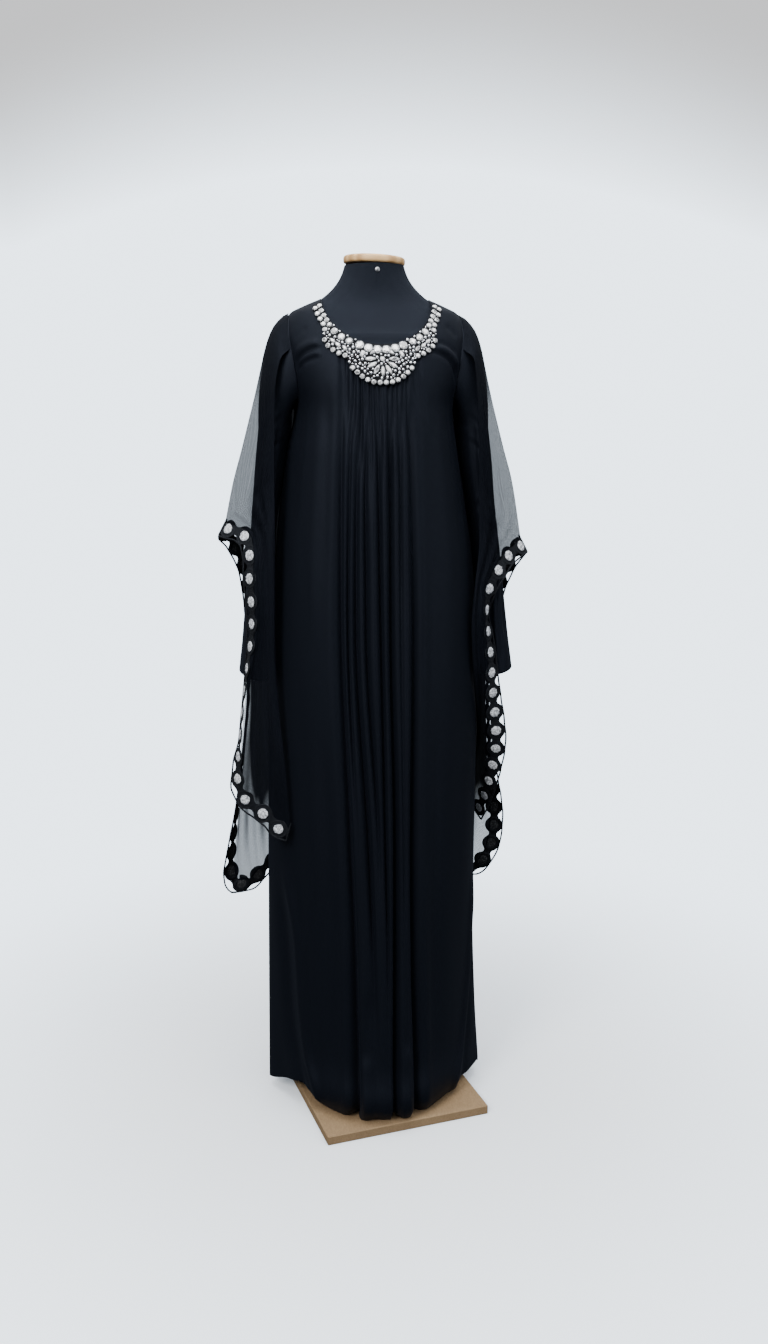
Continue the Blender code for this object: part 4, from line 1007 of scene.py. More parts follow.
SLEEVE = table("""
z     in_left out_left in_right out_right depth
.845  .2040   .2560    .2010    .2630     .061
.900  .2020   .2500    .1995    .2560     .059
.980  .1985   .2420    .1965    .2460     .057
1.090 .1895   .2310    .1870    .2335     .056
1.170 .1800   .2240    .1730    .2235     .056
1.240 .1685   .2175    .1590    .2175     .057
1.300 .1560   .2110    .1530    .2100     .057
""")
SLEEVE_FOOT, SLEEVE_TOP = SLEEVE["z"][[0, -1]]
CUFF = 0.848
CUFF_SLOPE, CUFF_HEM = 0.008, 0.018
HEAD_LEAVE, UNDERARM_LEAVE = 0.17, 0.35
HEAD_ARRIVE, UNDERARM_ARRIVE = 1.6, 0.9
HEAD_BEND = 1.4
HEAD_STEPS = np.linspace(0, 1, 30)
SLEEVE_ROWS = np.linspace(1.296, CUFF, 96)
SLEEVE_RADIUS = 0.045

# Lengthwise folds of a sleeve: where round it at the top and at the cuff (degrees from its outer
# side, front counted up), how deep and how wide in degrees, and the heights where it starts and ends
SLEEVE_FOLDS = numbers("""
34 58 .0042 11 1.42 .90     72 88 .0036 9 1.33 .84      112 118 .0040 12 1.36 .84
150 142 .0030 12 1.25 .84   205 214 .0032 13 1.28 .84   248 240 .0042 12 1.38 .84
290 282 .0036 10 1.34 .88   328 310 .0040 12 1.42 .84
""", 6)
# Short slanting creases at the elbow and near the armhole: turn, height, slant, reach, depth
SLEEVE_CREASES = numbers("""
60 1.150 .35 .040 .0022    75 1.120 .30 .045 .0026    95 1.092 .42 .040 .0020
110 1.165 -.30 .035 .0018  240 1.135 .30 .045 .0024   262 1.105 .36 .040 .0022
285 1.160 -.25 .035 .0018  70 1.300 .55 .035 .0022    88 1.262 .50 .040 .0018
268 1.290 -.55 .035 .0022
""", 5)
# How much fuller the sleeve's inner side is, where it hangs against the dress
SLEEVE_EASE = table("""
z left right
.840 .0030 .0030   .900 .0062 .0064   .980 .0070 .0062   1.090 .0064 .0074
1.130 .0050 .0060  1.170 .0058 .0054  1.240 .0056 .0034  1.300 .0050 .0044
""")


def opening(front_edge, back_edge):
    """Loop round an opening of the dress, with the ways out of the cloth and along its edge."""
    loop = np.concatenate([front_edge, back_edge])
    normals = np.concatenate([body_normals(front_edge, 1), body_normals(back_edge, -1)])
    return loop, normals, unit(loop_ways(loop, 0))


def armhole(front, back, side):
    """Armhole edge of both panels, from its top down the front and up the back, and the way on."""
    column = -1 if side > 0 else 0
    upper = slice(len(LOWER_ROWS) - 1, None)
    loop, normals, tangent = opening(front[upper, column][::-1], back[upper, column][1:-1])
    return loop, normals, unit(np.cross(normals, tangent)) * side


def turned_by(degrees):
    return (degrees + 180) % 360 - 180


def sleeve_relief(turn, z):
    """Depth of the sleeve's folds at a turn round it and a height."""
    degrees = np.degrees(turn) % 360
    push = np.zeros(z.shape)
    fall = np.clip((SLEEVE_TOP - z) / (SLEEVE_TOP - SLEEVE_FOOT), 0, 1)
    for high, low, depth, width, start, end in SLEEVE_FOLDS:
        centre = high + (low - high) * fall + 5 * np.sin(fall * 5 + high)
        fade = ramp(z, start, start - 0.09) * ramp(z, end - 0.001, end + 0.05)
        push += depth * fade * hump(turned_by(degrees - centre), width)
    for place, height, slant, reach, depth in SLEEVE_CREASES:
        apart = np.radians(turned_by(degrees - place)) * SLEEVE_RADIUS
        down = z - height - slant * apart
        near = depth * np.exp(-(apart / reach) ** 2 * 2)
        push += near * (hump(down, 0.0055) - 0.5 * hump(down - 0.011, 0.0065))
    return push


def make_sleeve(key, front, back, side):
    """Tube from the armhole down to the cuff, open at both ends."""
    loop, normals, onward = armhole(front, back, side)
    under = len(UPPER_STEPS)
    walked = run_of(np.concatenate([loop, loop[:1]]))
    split, total = walked[under], walked[-1]
    walked = walked[:-1]
    turn = np.where(walked <= split, walked / split, 1 + (walked - split) / (total - split)) * math.pi
    bend = (math.pi / 2 * np.sin(turn / 2) ** HEAD_BEND)[:, None]
    leave_way = np.cos(bend) * onward + np.sin(bend) * normals
    start = loop + leave_way * SEAM

    def sleeve_ring(z):
        near, far = look(SLEEVE, "in_" + key, z), look(SLEEVE, "out_" + key, z)
        reach = (near + far) / 2 + (far - near) / 2 * np.cos(turn)
        depth = -look(SLEEVE, "depth", z) * np.sin(turn)
        return np.stack([side * reach, depth, np.full_like(turn, z)], axis=1)

    head = sleeve_ring(SLEEVE_TOP)
    reach = np.linalg.norm(head - start, axis=1, keepdims=True)
    topness = (1 + np.cos(turn[:, None])) / 2
    leave = np.minimum(reach, HEAD_LEAVE) * (UNDERARM_LEAVE + (1 - UNDERARM_LEAVE) * topness) * leave_way
    arrive = reach * (UNDERARM_ARRIVE + (HEAD_ARRIVE - UNDERARM_ARRIVE) * topness) * (0, 0, -1)
    outer = np.array([hermite(t, start, leave, head, arrive) for t in HEAD_STEPS]
                     + [sleeve_ring(z) for z in SLEEVE_ROWS])
    height = outer[..., 2]
    outer[..., 2] += CUFF_SLOPE * np.cos(turn) * ramp(height, 0.92, CUFF)
    out = grid_normals(outer, 1, wrap=True)
    if ((outer - outer.mean(axis=1, keepdims=True)) * out)[-3:].sum() < 0:
        out = -out
    row = np.arange(len(outer))[:, None]
    push = sleeve_relief(turn[None, :], height) * ramp(row, 1, 14)
    push -= np.clip(-np.cos(turn), 0, 1) ** 3 * look(SLEEVE_EASE, key, height) * ramp(row, 8, 24)
    push += 0.0004 * hump(height - CUFF - CUFF_HEM, 0.0012)
    outer = outer - out * push[..., None]
    sense = 1 if (grid_normals(outer, 1, wrap=True) * out)[-3:].sum() > 0 else -1
    sleeve = grid_object("robe_sleeve_" + key, outer, JERSEY, sense, wrap=True)
    thicken(sleeve, JERSEY_THICKNESS)
    return place_piece(sleeve, "black_jersey", "sleeve_" + key)


BINDING_RADIUS, BINDING_DEPTH = 0.0011, 0.00075


def make_neck_binding(front, back):
    """Rolled strip round the neck opening, just inside the edge of the panels."""
    first = SIDE_COLUMNS - NECK_SIDE_COLUMNS
    loop, normals, tangent = opening(front[-1, first:-first], back[-1, first:-first][::-1][1:-1])
    inward = unit(np.cross(tangent, normals))
    inward *= -np.sign((inward * loop)[:, :2].sum(axis=1))[:, None]
    middle = loop + inward * (BINDING_RADIUS + SEAM) - normals * BINDING_DEPTH
    turns = circle(10)
    rings = np.array([middle + BINDING_RADIUS * (np.cos(turn) * inward + np.sin(turn) * normals)
                      for turn in turns])
    size = len(loop)
    faces = np.array(grid_faces(len(turns) + 1, size, wrap=True)) % (len(turns) * size)
    uv = np.stack(np.meshgrid(np.linspace(0, 0.8, size), turns * BINDING_RADIUS), axis=-1)
    binding = mesh_object("neck_roll", rings, faces.tolist(), [JERSEY], uv.reshape(-1, 2)[faces])
    shape = bmesh.new()
    shape.from_mesh(binding.data)
    if shape.calc_volume(signed=True) < 0:
        binding.data.flip_normals()
    shape.free()
    return place_piece(binding, "black_jersey", "neck_binding")


# The net wings

# Each hangs from the armhole's top over the sleeve as a front and a back half, which meet at the
# fold. x is counted outwards, y keeps its sign. A border row gives the middle of the lace, how far
# its outer edge turns from straight out round the sleeve, and how far it dips, in degrees. The
# border runs down the side for the given number of rows, and then along the bottom.
WING_LIFT = 0.0021
WING_TOP_STEP, WING_TOP_SHIFT = 0.60, 0.0015
FOLD = table("""
x z
.1590 1.4985  .1700 1.4900  .1815 1.4760  .1895 1.4590  .1965 1.4380  .2045 1.4050  .2200 1.3400
.2400 1.2650  .2580 1.2030
""")


class Wing:
    """A wing half: its inner edge, its border and how the net is gathered and pleated."""

    def __init__(self, inner, side_rows, border, dense, pleats):
        self.inner = table("x y z\n" + inner)
        self.border = table("x y z turn dip\n" + border)
        self.side_rows = side_rows
        self.dense_high, self.dense_low, self.dense_inner, self.dense_outer = dense
        self.pleats = numbers(pleats, 7)


# After the border: how far in from the inner edge the net is gathered tight, high up and low down,
# how dense it is there, and how dense the outer part is low down, where the net lies doubled.
# A pleat gives its place across above and below (0 is the inner edge), its height and reach, where
# down the wing it starts and ends, and how dense the net looks in it.
WINGS = {
    "front_left": Wing("""
.171 -.066 1.42  .183 -.077 1.36  .187 -.084 1.20  .188 -.088 1.05  .190 -.092 .90  .186 -.100 .80
.176 -.110 .68
""", 14, """
.2795 .000 1.1226 0 62    .2745 -.012 1.1215 0 60   .2500 -.035 1.1164 5 52   .2345 -.055 1.1000 20 40
.2318 -.066 1.0690 45 15  .2334 -.072 1.0390 50 5   .2316 -.078 1.0020 55 0   .2307 -.080 .9660 60 0
.2333 -.080 .9260 66 0    .2396 -.080 .8875 78 0    .2504 -.080 .8060 86 0    .2574 -.082 .7410 84 0
.2621 -.085 .6965 60 0    .2629 -.088 .6630 45 12   .2492 -.095 .6300 20 60   .2225 -.100 .6080 8 76
.2030 -.105 .5920 0 80    .1926 -.108 .5780 0 82    .1720 -.114 .5710 0 84
""", (0.010, 0.010, 0.85, 0.0), """
.02 .02 .0015 .0040 .02 1.02 .45   .16 .20 .0030 .0060 .15 1.00 .15   .30 .34 .0035 .0060 .20 1.00 .35
.48 .46 -.0030 .0070 .25 1.00 .10  .62 .64 .0030 .0050 .22 .98 .30    .80 .82 .0020 .0050 .30 .98 .15
"""),
    "back_left": Wing("""
.171 .066 1.42  .183 .077 1.36  .187 .084 1.20  .188 .088 1.05  .190 .092 .90  .186 .100 .75
.175 .114 .60
""", 10, """
.2795 .000 1.1226 0 62   .2770 .012 1.1150 0 60   .2580 .030 1.0900 20 50  .2430 .045 1.0400 60 20
.2360 .066 .9500 70 0    .2380 .080 .8000 80 0    .2500 .088 .6800 82 0    .2640 .092 .5660 76 0
.2770 .094 .4800 60 5    .2820 .095 .4300 42 25   .2680 .095 .3950 20 60   .2450 .098 .3960 5 78
.2250 .103 .4130 0 80    .2050 .110 .4300 0 80    .1800 .122 .4550 0 82    .1580 .134 .4720 0 82
""", (0.046, 0.070, 0.99, 0.52), """
.08 .06 .0015 .0260 .01 1.02 .20   .24 .22 .0030 .0070 .12 1.00 .25   .30 .28 -.0030 .0070 .20 1.00 .10
.44 .46 .0035 .0060 .20 1.00 .35   .60 .60 -.0030 .0060 .25 1.00 .10  .72 .74 .0030 .0050 .25 .99 .30
.88 .88 .0020 .0050 .30 .98 .20
"""),
    "front_right": Wing("""
.171 -.066 1.42  .178 -.080 1.30  .180 -.084 1.20  .181 -.087 1.10  .173 -.093 1.02  .167 -.097 .95
.172 -.090 .87   .183 -.062 .80   .193 -.030 .74   .199 .004 .68    .202 .032 .63
""", 14, """
.2825 .000 1.0870 0 62     .2780 -.012 1.0850 0 60   .2465 -.040 1.0680 5 55   .2185 -.066 1.0370 15 40
.2016 -.075 1.0020 37 20   .1986 -.077 .9620 65 0    .2034 -.077 .9220 52 0    .2080 -.078 .8805 45 0
.2112 -.077 .8400 36 0     .2161 -.071 .7970 22 0    .2227 -.062 .7540 4 0     .2272 -.052 .7110 -14 0
.2253 -.035 .6670 -30 5    .2205 -.015 .6210 -45 15  .2144 .010 .5770 -52 28   .2080 .035 .5450 -56 45
""", (0.010, 0.010, 0.85, 0.0), """
.02 .02 .0015 .0040 .02 1.02 .45   .20 .24 .0030 .0060 .10 1.00 .20   .38 .40 -.0030 .0060 .15 1.00 .15
.55 .60 .0030 .0060 .20 1.00 .25   .76 .80 .0020 .0050 .30 .98 .15
"""),
    "back_right": Wing("""
.171 .066 1.42  .178 .080 1.30  .180 .084 1.20  .184 .086 1.05  .186 .092 .90  .184 .100 .75
.175 .112 .60
""", 10, """
.2825 .000 1.0870 0 62   .2800 .012 1.0800 0 60   .2620 .030 1.0500 20 50  .2470 .048 1.0000 50 20
.2380 .072 .9200 70 0    .2360 .082 .8200 80 0    .2400 .086 .7200 80 0    .2470 .085 .6200 60 0
.2554 .083 .5200 22 0    .2520 .084 .4750 10 15   .2360 .088 .4300 0 55    .2150 .098 .4080 0 80
.1900 .112 .4250 0 82    .1650 .128 .4480 0 82
""", (0.040, 0.078, 0.99, 0.35), """
.08 .06 .0015 .0260 .01 1.02 .20   .24 .22 .0030 .0070 .12 1.00 .20   .36 .38 -.0030 .0070 .20 1.00 .10
.54 .52 .0035 .0060 .20 1.00 .30   .74 .76 .0030 .0060 .25 .98 .20
"""),
}
FOLD_ROWS = np.linspace(0, 1, 34)[:-1]
FOLD_ROUNDING, FOLD_WAY = 0.045, (0.25, 1.0, 0.15)
BORDER_EASE = 0.022
TIP_DOWN = 0.27
WING_BULGE = table("""
down out
0 0  .03 .002  .08 .004  .15 .008  .3 .006  .45 .003  .9 .001  1 0
""")
BACK_BULGE = 2.3
NET_WAVES, NET_WAVE_PHASE = 2.5, 1.0
NET_WAVE_DEPTH, NET_WAVE_WIDTH = 0.005, 0.10
NET_WAVE_START, NET_WAVE_FULL, NET_WAVE_END = 0.17, 0.50, 0.875
TOP_SHARE, FOOT_SHARE, ARRIVAL_SHARE = 0.12, 0.8, 0.7
# How far the inner edge of a back half reaches in behind the dress
BACK_OVERLAP = table("""
z reach
.60 .022  1.05 .034  1.20 .044  1.30 .046  1.36 .044  1.42 .030
""")
INNER_DENSE_EDGE = 0.007
NET_TOP_DENSE, NET_FOLD_DENSE, NET_MOST_DENSE = 0.97, 0.8, 0.99
NET_UNDER_LACE, NET_BEHIND_LACE = 0.0070, 0.0016
FOLD_EDGE = 0.0016

MEDALLION_PITCH, MEDALLION_HALF = 0.040, 0.0160
BORDER_STEP = 0.0045


def border_frame(wing, side, face):
    """Reader of a border's middle, way across and way out at any distance, its length and corner."""
    rows = wing.border
    middle = np.stack([side * rows["x"], rows["y"], rows["z"]], axis=1)
    run = run_of(middle)
    end = run[-1]
    count = round(end / MEDALLION_PITCH)
    flat = MEDALLION_HALF * math.tan(math.pi / 8)
    stations = np.concatenate([[0], (np.arange(count) + 0.5) * end / count + flat, [end]])
    corner = stations[np.abs(stations - run[wing.side_rows - 1]).argmin()]

    def middle_at(s):
        return np.stack([smooth(run, middle[:, k], s) for k in range(3)], axis=-1)

    def read(s):
        s = np.asarray(s, float)
        turn, dip = (np.radians(smooth(run, rows[key], s)) for key in ("turn", "dip"))
        step = 0.009
        way = unit(middle_at(np.minimum(s + step, end)) - middle_at(np.maximum(s - step, 0)))
        square = ramp(s, 0.0, 0.026)[..., None]
        way = unit(way * square + np.array((0, -face, 0)) * (1 - square))
        level = np.cos(dip)
        across = np.stack([side * np.cos(turn) * level, face * np.sin(turn) * level, -np.sin(dip)], axis=-1)
        across = unit(across - way * (across * way).sum(axis=-1, keepdims=True))
        point = middle_at(s)
        point[..., 1] = np.where(s < 1e-6, -face * SEAM / 2, point[..., 1])
        return point, across, np.cross(way, across) * side * face

    return read, end, corner, count


def under_lace(read, at):
    """Edge of the net at distances along a border, with the way across there."""
    point, across, out = read(at)
    return point - NET_UNDER_LACE * across - NET_BEHIND_LACE * out, across


def wing_top(front, back, side, face):
    """Where a wing half is sewn on, above the armhole's edge."""
    loop, normals, onward = armhole(front, back, side)
    used = [i for i, step in enumerate(UPPER_STEPS[::-1]) if step >= WING_TOP_STEP]
    order = [-i % len(loop) if face < 0 else i for i in reversed(used)]
    return loop[order] + normals[order] * WING_LIFT + onward[order] * WING_TOP_SHIFT


def net_pleats(wing, share, down, width):
    """Fine lengthwise pleats of the hanging net, and how densely it is gathered there."""
    across = share * width
    height, dense = np.zeros((2, *across.shape))
    for place_high, place_low, depth, reach, start, end, fill in wing.pleats:
        apart = across / reach - (place_high + (place_low - place_high) * down) * width / reach
        fade = ramp(down, start, start + 0.12) * ramp(-down, -end, -end + 0.10)
        height += depth * fade * hump(apart, 1) * (1 - 0.5 * apart)
        dense += fill * fade * hump(apart, 1.2)
    fine = np.sin(across / 0.0034 + 2 * np.sin(down * 5) + 1.7 * np.sin(across / 0.013))
    height += 0.0002 * fine * ramp(down, 0.3, 0.6) * ramp(-down, -0.98, -0.85)
    dense += 0.06 * np.clip(fine, 0, 1) * ramp(down, 0.25, 0.6)
    dense += NET_TOP_DENSE * ramp(-down, -0.125, -0.05)
    reach = wing.dense_high + (wing.dense_low - wing.dense_high) * ramp(down, 0.42, 0.52)
    dense += wing.dense_inner * ramp(-across, -reach - INNER_DENSE_EDGE, -reach) * ramp(-down, -0.90, -0.80)
    dense += wing.dense_outer * ramp(down, 0.66, 0.74) * ramp(across, 0.030, 0.042)
    dense += NET_FOLD_DENSE * hump(width - across, FOLD_EDGE) * ramp(-down, -0.30, -0.27)
    return height, np.clip(dense, 0, NET_MOST_DENSE)


def make_wing(key, armhole_top, side, face):
    """Net panel between the armhole, the fold, the lace border and its own inner edge."""
    wing = WINGS[key]
    read, end, corner, _ = border_frame(wing, side, face)
    at = np.linspace(0, corner, round(corner / BORDER_STEP))
    edge, border_across = under_lace(read, at)
    fold_line = np.stack([side * FOLD["x"], np.full_like(FOLD["x"], -face * SEAM / 2), FOLD["z"]], axis=1)
    fold = np.concatenate([armhole_top[-1:], fold_line, edge[:1]])
    outer = np.concatenate([along(fold, FOLD_ROWS), edge])
    fold_way = unit(np.array([FOLD_WAY]) * (side, face, 1)).repeat(len(FOLD_ROWS), axis=0) * FOLD_ROUNDING
    arrival = np.concatenate([fold_way, border_across * BORDER_EASE])
    tip = len(FOLD_ROWS)
    arrival[tip] = (arrival[tip - 1] + arrival[tip + 1]) / 2
    down = np.concatenate([FOLD_ROWS * TIP_DOWN, TIP_DOWN + (1 - TIP_DOWN) * at / corner])

    foot_at = np.linspace(end, corner, max(24, round((end - corner) / 0.003)))
    bottom, _ = under_lace(read, foot_at)
    share = run_of(bottom) / run_of(bottom)[-1]
    x, y, z = wing.inner.values()
    overlap = look(BACK_OVERLAP, "reach", z) if face < 0 else 0.0
    inner_edge = np.stack([side * (x - overlap), y, z], axis=1)
    inner = along(np.concatenate([armhole_top[:1], inner_edge, bottom[:1]]), down)

    chord = outer - inner
    width = np.linalg.norm(chord, axis=1, keepdims=True)
    longest = np.linalg.norm(arrival, axis=1, keepdims=True).clip(1e-9)
    arrival *= np.minimum(1, ARRIVAL_SHARE * width / longest)
    t = share[None, :, None]
    grid = inner[:, None] + chord[:, None] * t + (arrival - chord)[:, None] * t * t * (t - 1)
    ease_top = np.clip(1 - down / TOP_SHARE, 0, 1)[:, None, None] ** 2
    ease_bottom = np.clip((down - FOOT_SHARE) / (1 - FOOT_SHARE), 0, 1)[:, None, None] ** 1.5
    grid = grid + ease_top * (along(armhole_top, share) - grid[0]) + ease_bottom * (bottom - grid[-1])

    down = down[:, None]
    window = np.sin(math.pi * share)
    bulge = (1.0 if face > 0 else BACK_BULGE) * look(WING_BULGE, "out", down, "down") * window
    grid = grid + bulge[..., None] * unit(np.array((side, -face, 0.0)))
    rise = np.clip((down - NET_WAVE_START) / (NET_WAVE_FULL - NET_WAVE_START), 0, 1)
    fade = np.clip((1 - down) / (1 - NET_WAVE_END), 0, 1)
    wave = (NET_WAVE_DEPTH * rise * fade * np.clip(width / NET_WAVE_WIDTH, 0, 1) * window
            * np.sin(TWO_PI * NET_WAVES * share + NET_WAVE_PHASE))
    pleat, dense = net_pleats(wing, share, down, width)
    calm = ramp(share, 0, 0.06) * ramp(-share, -1, -0.94)
    for relief in (wave, pleat * calm):
        grid = grid + relief[..., None] * grid_normals(grid, -side * face)
    grid[:tip + 1, -1, 1] = -face * SEAM / 2
    net = grid_object("net_wing_" + key, grid, NET, -side * face)
    gathered = net.data.attributes.new("gathered", "FLOAT", "POINT")
    gathered.data.foreach_set("value", dense.astype(np.float32).ravel())
    return place_piece(net, "black_net", "wing_" + key)


# The lace borders

DISC_RADIUS, DISC_STEPS = 0.0097, 36
RING_RIBS = 24
RING_SECTION = numbers("""
.0088 .0001  .0096 .0011  .0108 .0014  .0121 .0008   .0136 .0006   .0151 .0006
.0162 .0011  .0172 .0009  .0178 .0000  .0170 -.0008  .0134 -.0009  .0102 -.0008
""", 2)
DISC_RINGS = numbers("""
0 .0024  .18 .0023  .36 .0021  .54 .0022  .70 .0020  .84 .0016  .95 .0010  1 .0004
""", 2)
DISC_BACK_RINGS = ((1.0, 0.0003), (0.97, -0.0005), (0.5, -0.0009))
PETALS, PETAL_DEPTH, PETAL_RIPPLE, CRUMPLE = 9, 0.035, 0.00034, 0.00016
EDGE_CORD, EDGE_CORD_PLACE = 0.0017, 0.0174
WEB_HALF, WEB_START, WEB_WAIST = 0.0112, 0.0135, 0.70
CORNER_REACH = 0.036
CORD_SIDES = 7
BAR_PLACE = 0.0009


class Heap:
    """Many small pieces, kept for one joined mesh."""

    def __init__(self):
        self.points = []
        self.faces = []
        self.values = []
        self.count = 0

    def put(self, points, faces, values=()):
        """Adds faces over points, with one value for all of them or one for each."""
        if isinstance(values, int):
            values = [values] * len(faces)
        points = np.reshape(points, (-1, 3))
        self.faces += [tuple(self.count + i for i in face) for face in faces]
        self.points.append(points)
        self.values += list(values)
        self.count += len(points)


def put_disc(strip, centre, radius, chance):
    """White disc of crumpled petals over a dark backing."""
    turn = circle(DISC_STEPS)
    petals = np.sin(PETALS * turn + chance.uniform(0, TWO_PI))
    rows = []
    for share, height in DISC_RINGS:
        ripple = PETAL_RIPPLE * share * petals + CRUMPLE * chance.normal(size=DISC_STEPS) * (share < 0.9)
        rows.append(ring(radius * share * (1 + PETAL_DEPTH * share * petals), height + ripple, turn, centre))
    strip.put(rows, grid_faces(len(rows), DISC_STEPS, wrap=True), 1)
    rows = [ring(radius * share, height, turn, centre) for share, height in DISC_BACK_RINGS]
    middle = tuple(range(2 * DISC_STEPS, 3 * DISC_STEPS))
    strip.put(rows, [*grid_faces(len(rows), DISC_STEPS, wrap=True), middle], 2)


def put_ring(strip, centre, size, chance):
    """Corded ring, wound with thread all the way round."""
    turn = circle(2 * RING_RIBS)
    ribbed = 1 + 0.16 * (-1.0) ** np.arange(len(turn))
    loose = 1 + 0.012 * np.sin(2 * turn + chance.uniform(0, TWO_PI)) + 0.008 * np.sin(3 * turn)
    rows = [ring(radius * size * loose, height * (ribbed if height > 0.0008 else 1), turn, centre)
            for radius, height in RING_SECTION]
    strip.put([*rows, rows[0]], grid_faces(len(rows) + 1, len(turn), wrap=True), 0)


def put_web(strip, start, end):
    """Worked web that joins two rings, waisted at its middle."""
    at = np.linspace(0, 1, 9)[:, None]
    lines = np.linspace(-1, 1, 7)
    s = start + (end - start) * at + 0 * lines
    w = WEB_HALF * (WEB_WAIST + (1 - WEB_WAIST) * (2 * at - 1) ** 2) * lines
    swell = 0.0006 * (1 - 0.6 * np.abs(lines)) + 0 * s
    for height, flip in ((swell + 0.0002 * np.cos(at * 18), False), (-swell, True)):
        strip.put(np.stack([s, w, height], axis=-1), grid_faces(*s.shape, flip=flip), 0)


def put_cord(strip, s, w):
    """Ribbed cord along a flat path of distance and place across."""
    path = np.stack(np.broadcast_arrays(s, w), axis=1)
    way = unit(np.gradient(path, axis=0))
    turn = circle(CORD_SIDES)
    swell = EDGE_CORD * (1 + 0.12 * (-1.0) ** np.arange(len(path)))
    swell[[0, -1]] *= 0.5
    aside = swell[:, None] * np.cos(turn)
    rows = np.stack([path[:, :1] - aside * way[:, 1:], path[:, 1:] + aside * way[:, :1],
                     swell[:, None] * np.sin(turn)], axis=-1)
    strip.put(rows, capped_faces(len(rows), CORD_SIDES), 0)


def mitre(read, steps, corner):
    """How much farther out the outer cord runs near the corner, so that it ends in a point."""
    across, before, after = (read(s)[1] for s in (steps, corner - CORNER_REACH, corner + CORNER_REACH))
    nearest = np.maximum(across @ before, across @ after)
    return np.where(np.abs(steps - corner) < CORNER_REACH, 1 / np.clip(nearest, 0.80, 1), 1.0)


def make_lace(key, side, face, seed):
    """Border of round medallions in corded rings, joined by webs, with one edge cord along its outer side and a cord
    across each end, and its gaps open.
    """
    chance = np.random.default_rng(seed)
    read, end, corner, count = border_frame(WINGS[key], side, face)
    strip = Heap()
    previous = BAR_PLACE
    for k in range(count):
        s = (k + 0.5) * end / count + chance.normal(0, 0.0002)
        w = chance.normal(0, 0.00025)
        put_ring(strip, (s, w), chance.uniform(0.985, 1.01), chance)
        put_disc(strip, (s + chance.normal(0, 0.0003), w), DISC_RADIUS * chance.uniform(0.96, 1.05), chance)
        put_web(strip, previous, s - WEB_START)
        previous = s + WEB_START
    put_web(strip, previous, end - BAR_PLACE)
    steps = np.linspace(BAR_PLACE, end - BAR_PLACE, count * 22)
    sway = EDGE_CORD_PLACE + 0.0003 * np.sin(steps * 150 + seed)
    put_cord(strip, steps, sway * mitre(read, steps, corner))
    for bar in (BAR_PLACE, end - BAR_PLACE):
        put_cord(strip, bar, np.linspace(-EDGE_CORD_PLACE, EDGE_CORD_PLACE, 18))
    places = np.concatenate(strip.points)
    point, across, out = read(np.clip(places[:, 0], 0, end))
    points = point + across * places[:, 1:2] + out * places[:, 2:]
    seam = places[:, 0] < 0.004
    points[seam, 1] = np.where(points[seam, 1] * face > -SEAM / 2, -face * SEAM / 2, points[seam, 1])
    lace = mesh_object("border_" + key, points, strip.faces, [CORD, DISC, DISC_BACK], slots=strip.values,
                       sharp=60)
    disc = lace.data.polygons[strip.values.index(1)]
    if disc.normal.dot(Vector(out[disc.vertices[0]])) < 0:
        lace.data.flip_normals()
    return place_piece(lace, "medallion_lace", "lace_" + key)


# The bib of stones

BIB_SHAPE = table("""
around width slant
0 .068 0       6 .0675 4     13 .063 8    19 .056 11     24 .0495 14   27.5 .039 18   31 .0355 22
37 .0370 31    44 .0365 36   50 .033 39   55 .0245 43    60 .0165 49   70 .0160 56    84 .0165 64
""")
BIB_GROUND, BIB_BASE = 0.0012, 0.0018
BIB_ROWS = np.linspace(0, 1, 26)
BIB_COLUMNS = 420
BIB_ROUNDING = 0.0006
SCALLOP, SCALLOP_PITCH, SCALLOP_BACK = 0.0007, 0.0076, 0.0005
STONE_SIDES = 16
STONE_TOP = 0.0026
STONE_RINGS = ((1.00, 0.00, 0.0), (1.00, 0.30, 0.0), (0.80, 0.72, 0.5), (0.52, 1.00, 0.0))
SETTING_RINGS = ((1.16, 0.0), (1.16, 0.30), (1.09, 0.40), (1.00, 0.30))
CLAW = ((1.14, 0.2), (1.10, 0.75), (0.88, 0.82))
CLAW_HALF = 0.055
BEAD_RINGS = ((1.0, 0.0), (1.0, 0.35), (0.72, 0.80))
BEAD_SIZES = (0.0058, 0.0044, 0.0032)
FAN_CENTRE = np.array((0.0, 1.4165))
FAN_STONES, FAN_REACH = 7, 0.0205


def bib_point(around, share):
    """Point of the bib in front view, share 0 at the neckline and 1 at its outer edge."""
    degrees = np.abs(around)
    width = share * look(BIB_SHAPE, "width", degrees, "around")
    slant = np.radians(look(BIB_SHAPE, "slant", degrees, "around"))
    angle = np.radians(degrees)
    x = NECK_HALF * np.sin(angle) + width * np.sin(slant)
    z = NECK_TOP - FRONT_NECK_DROP * np.cos(angle) - width * np.cos(slant)
    return np.stack(np.broadcast_arrays(np.copysign(x, around), z), axis=-1)


def bib_place(flat, height):
    """Points at a height over the dress front, with the ways right, up and out there."""
    base = on_body(DRESS, flat[..., 0], flat[..., 1], 1)
    out = body_normals(base, 1)
    right = unit(np.cross((0.0, 0.0, 1.0), out))
    return base + out * np.asarray(height)[..., None], right, np.cross(out, right), out


def bib_line(share, start, end, spacing):
    """Evenly spaced places along the bib at one share of its width, with the way along it."""
    around = np.linspace(start, end, 600)
    run = run_of(bib_point(around, share))
    count = max(1, round(run[-1] / spacing))
    at = np.interp((np.arange(count) + 0.5) / count * run[-1], run, around)
    way = bib_point(at + 0.2, share) - bib_point(at - 0.2, share)
    return zip(bib_point(at, share), np.arctan2(way[:, 1], way[:, 0]))


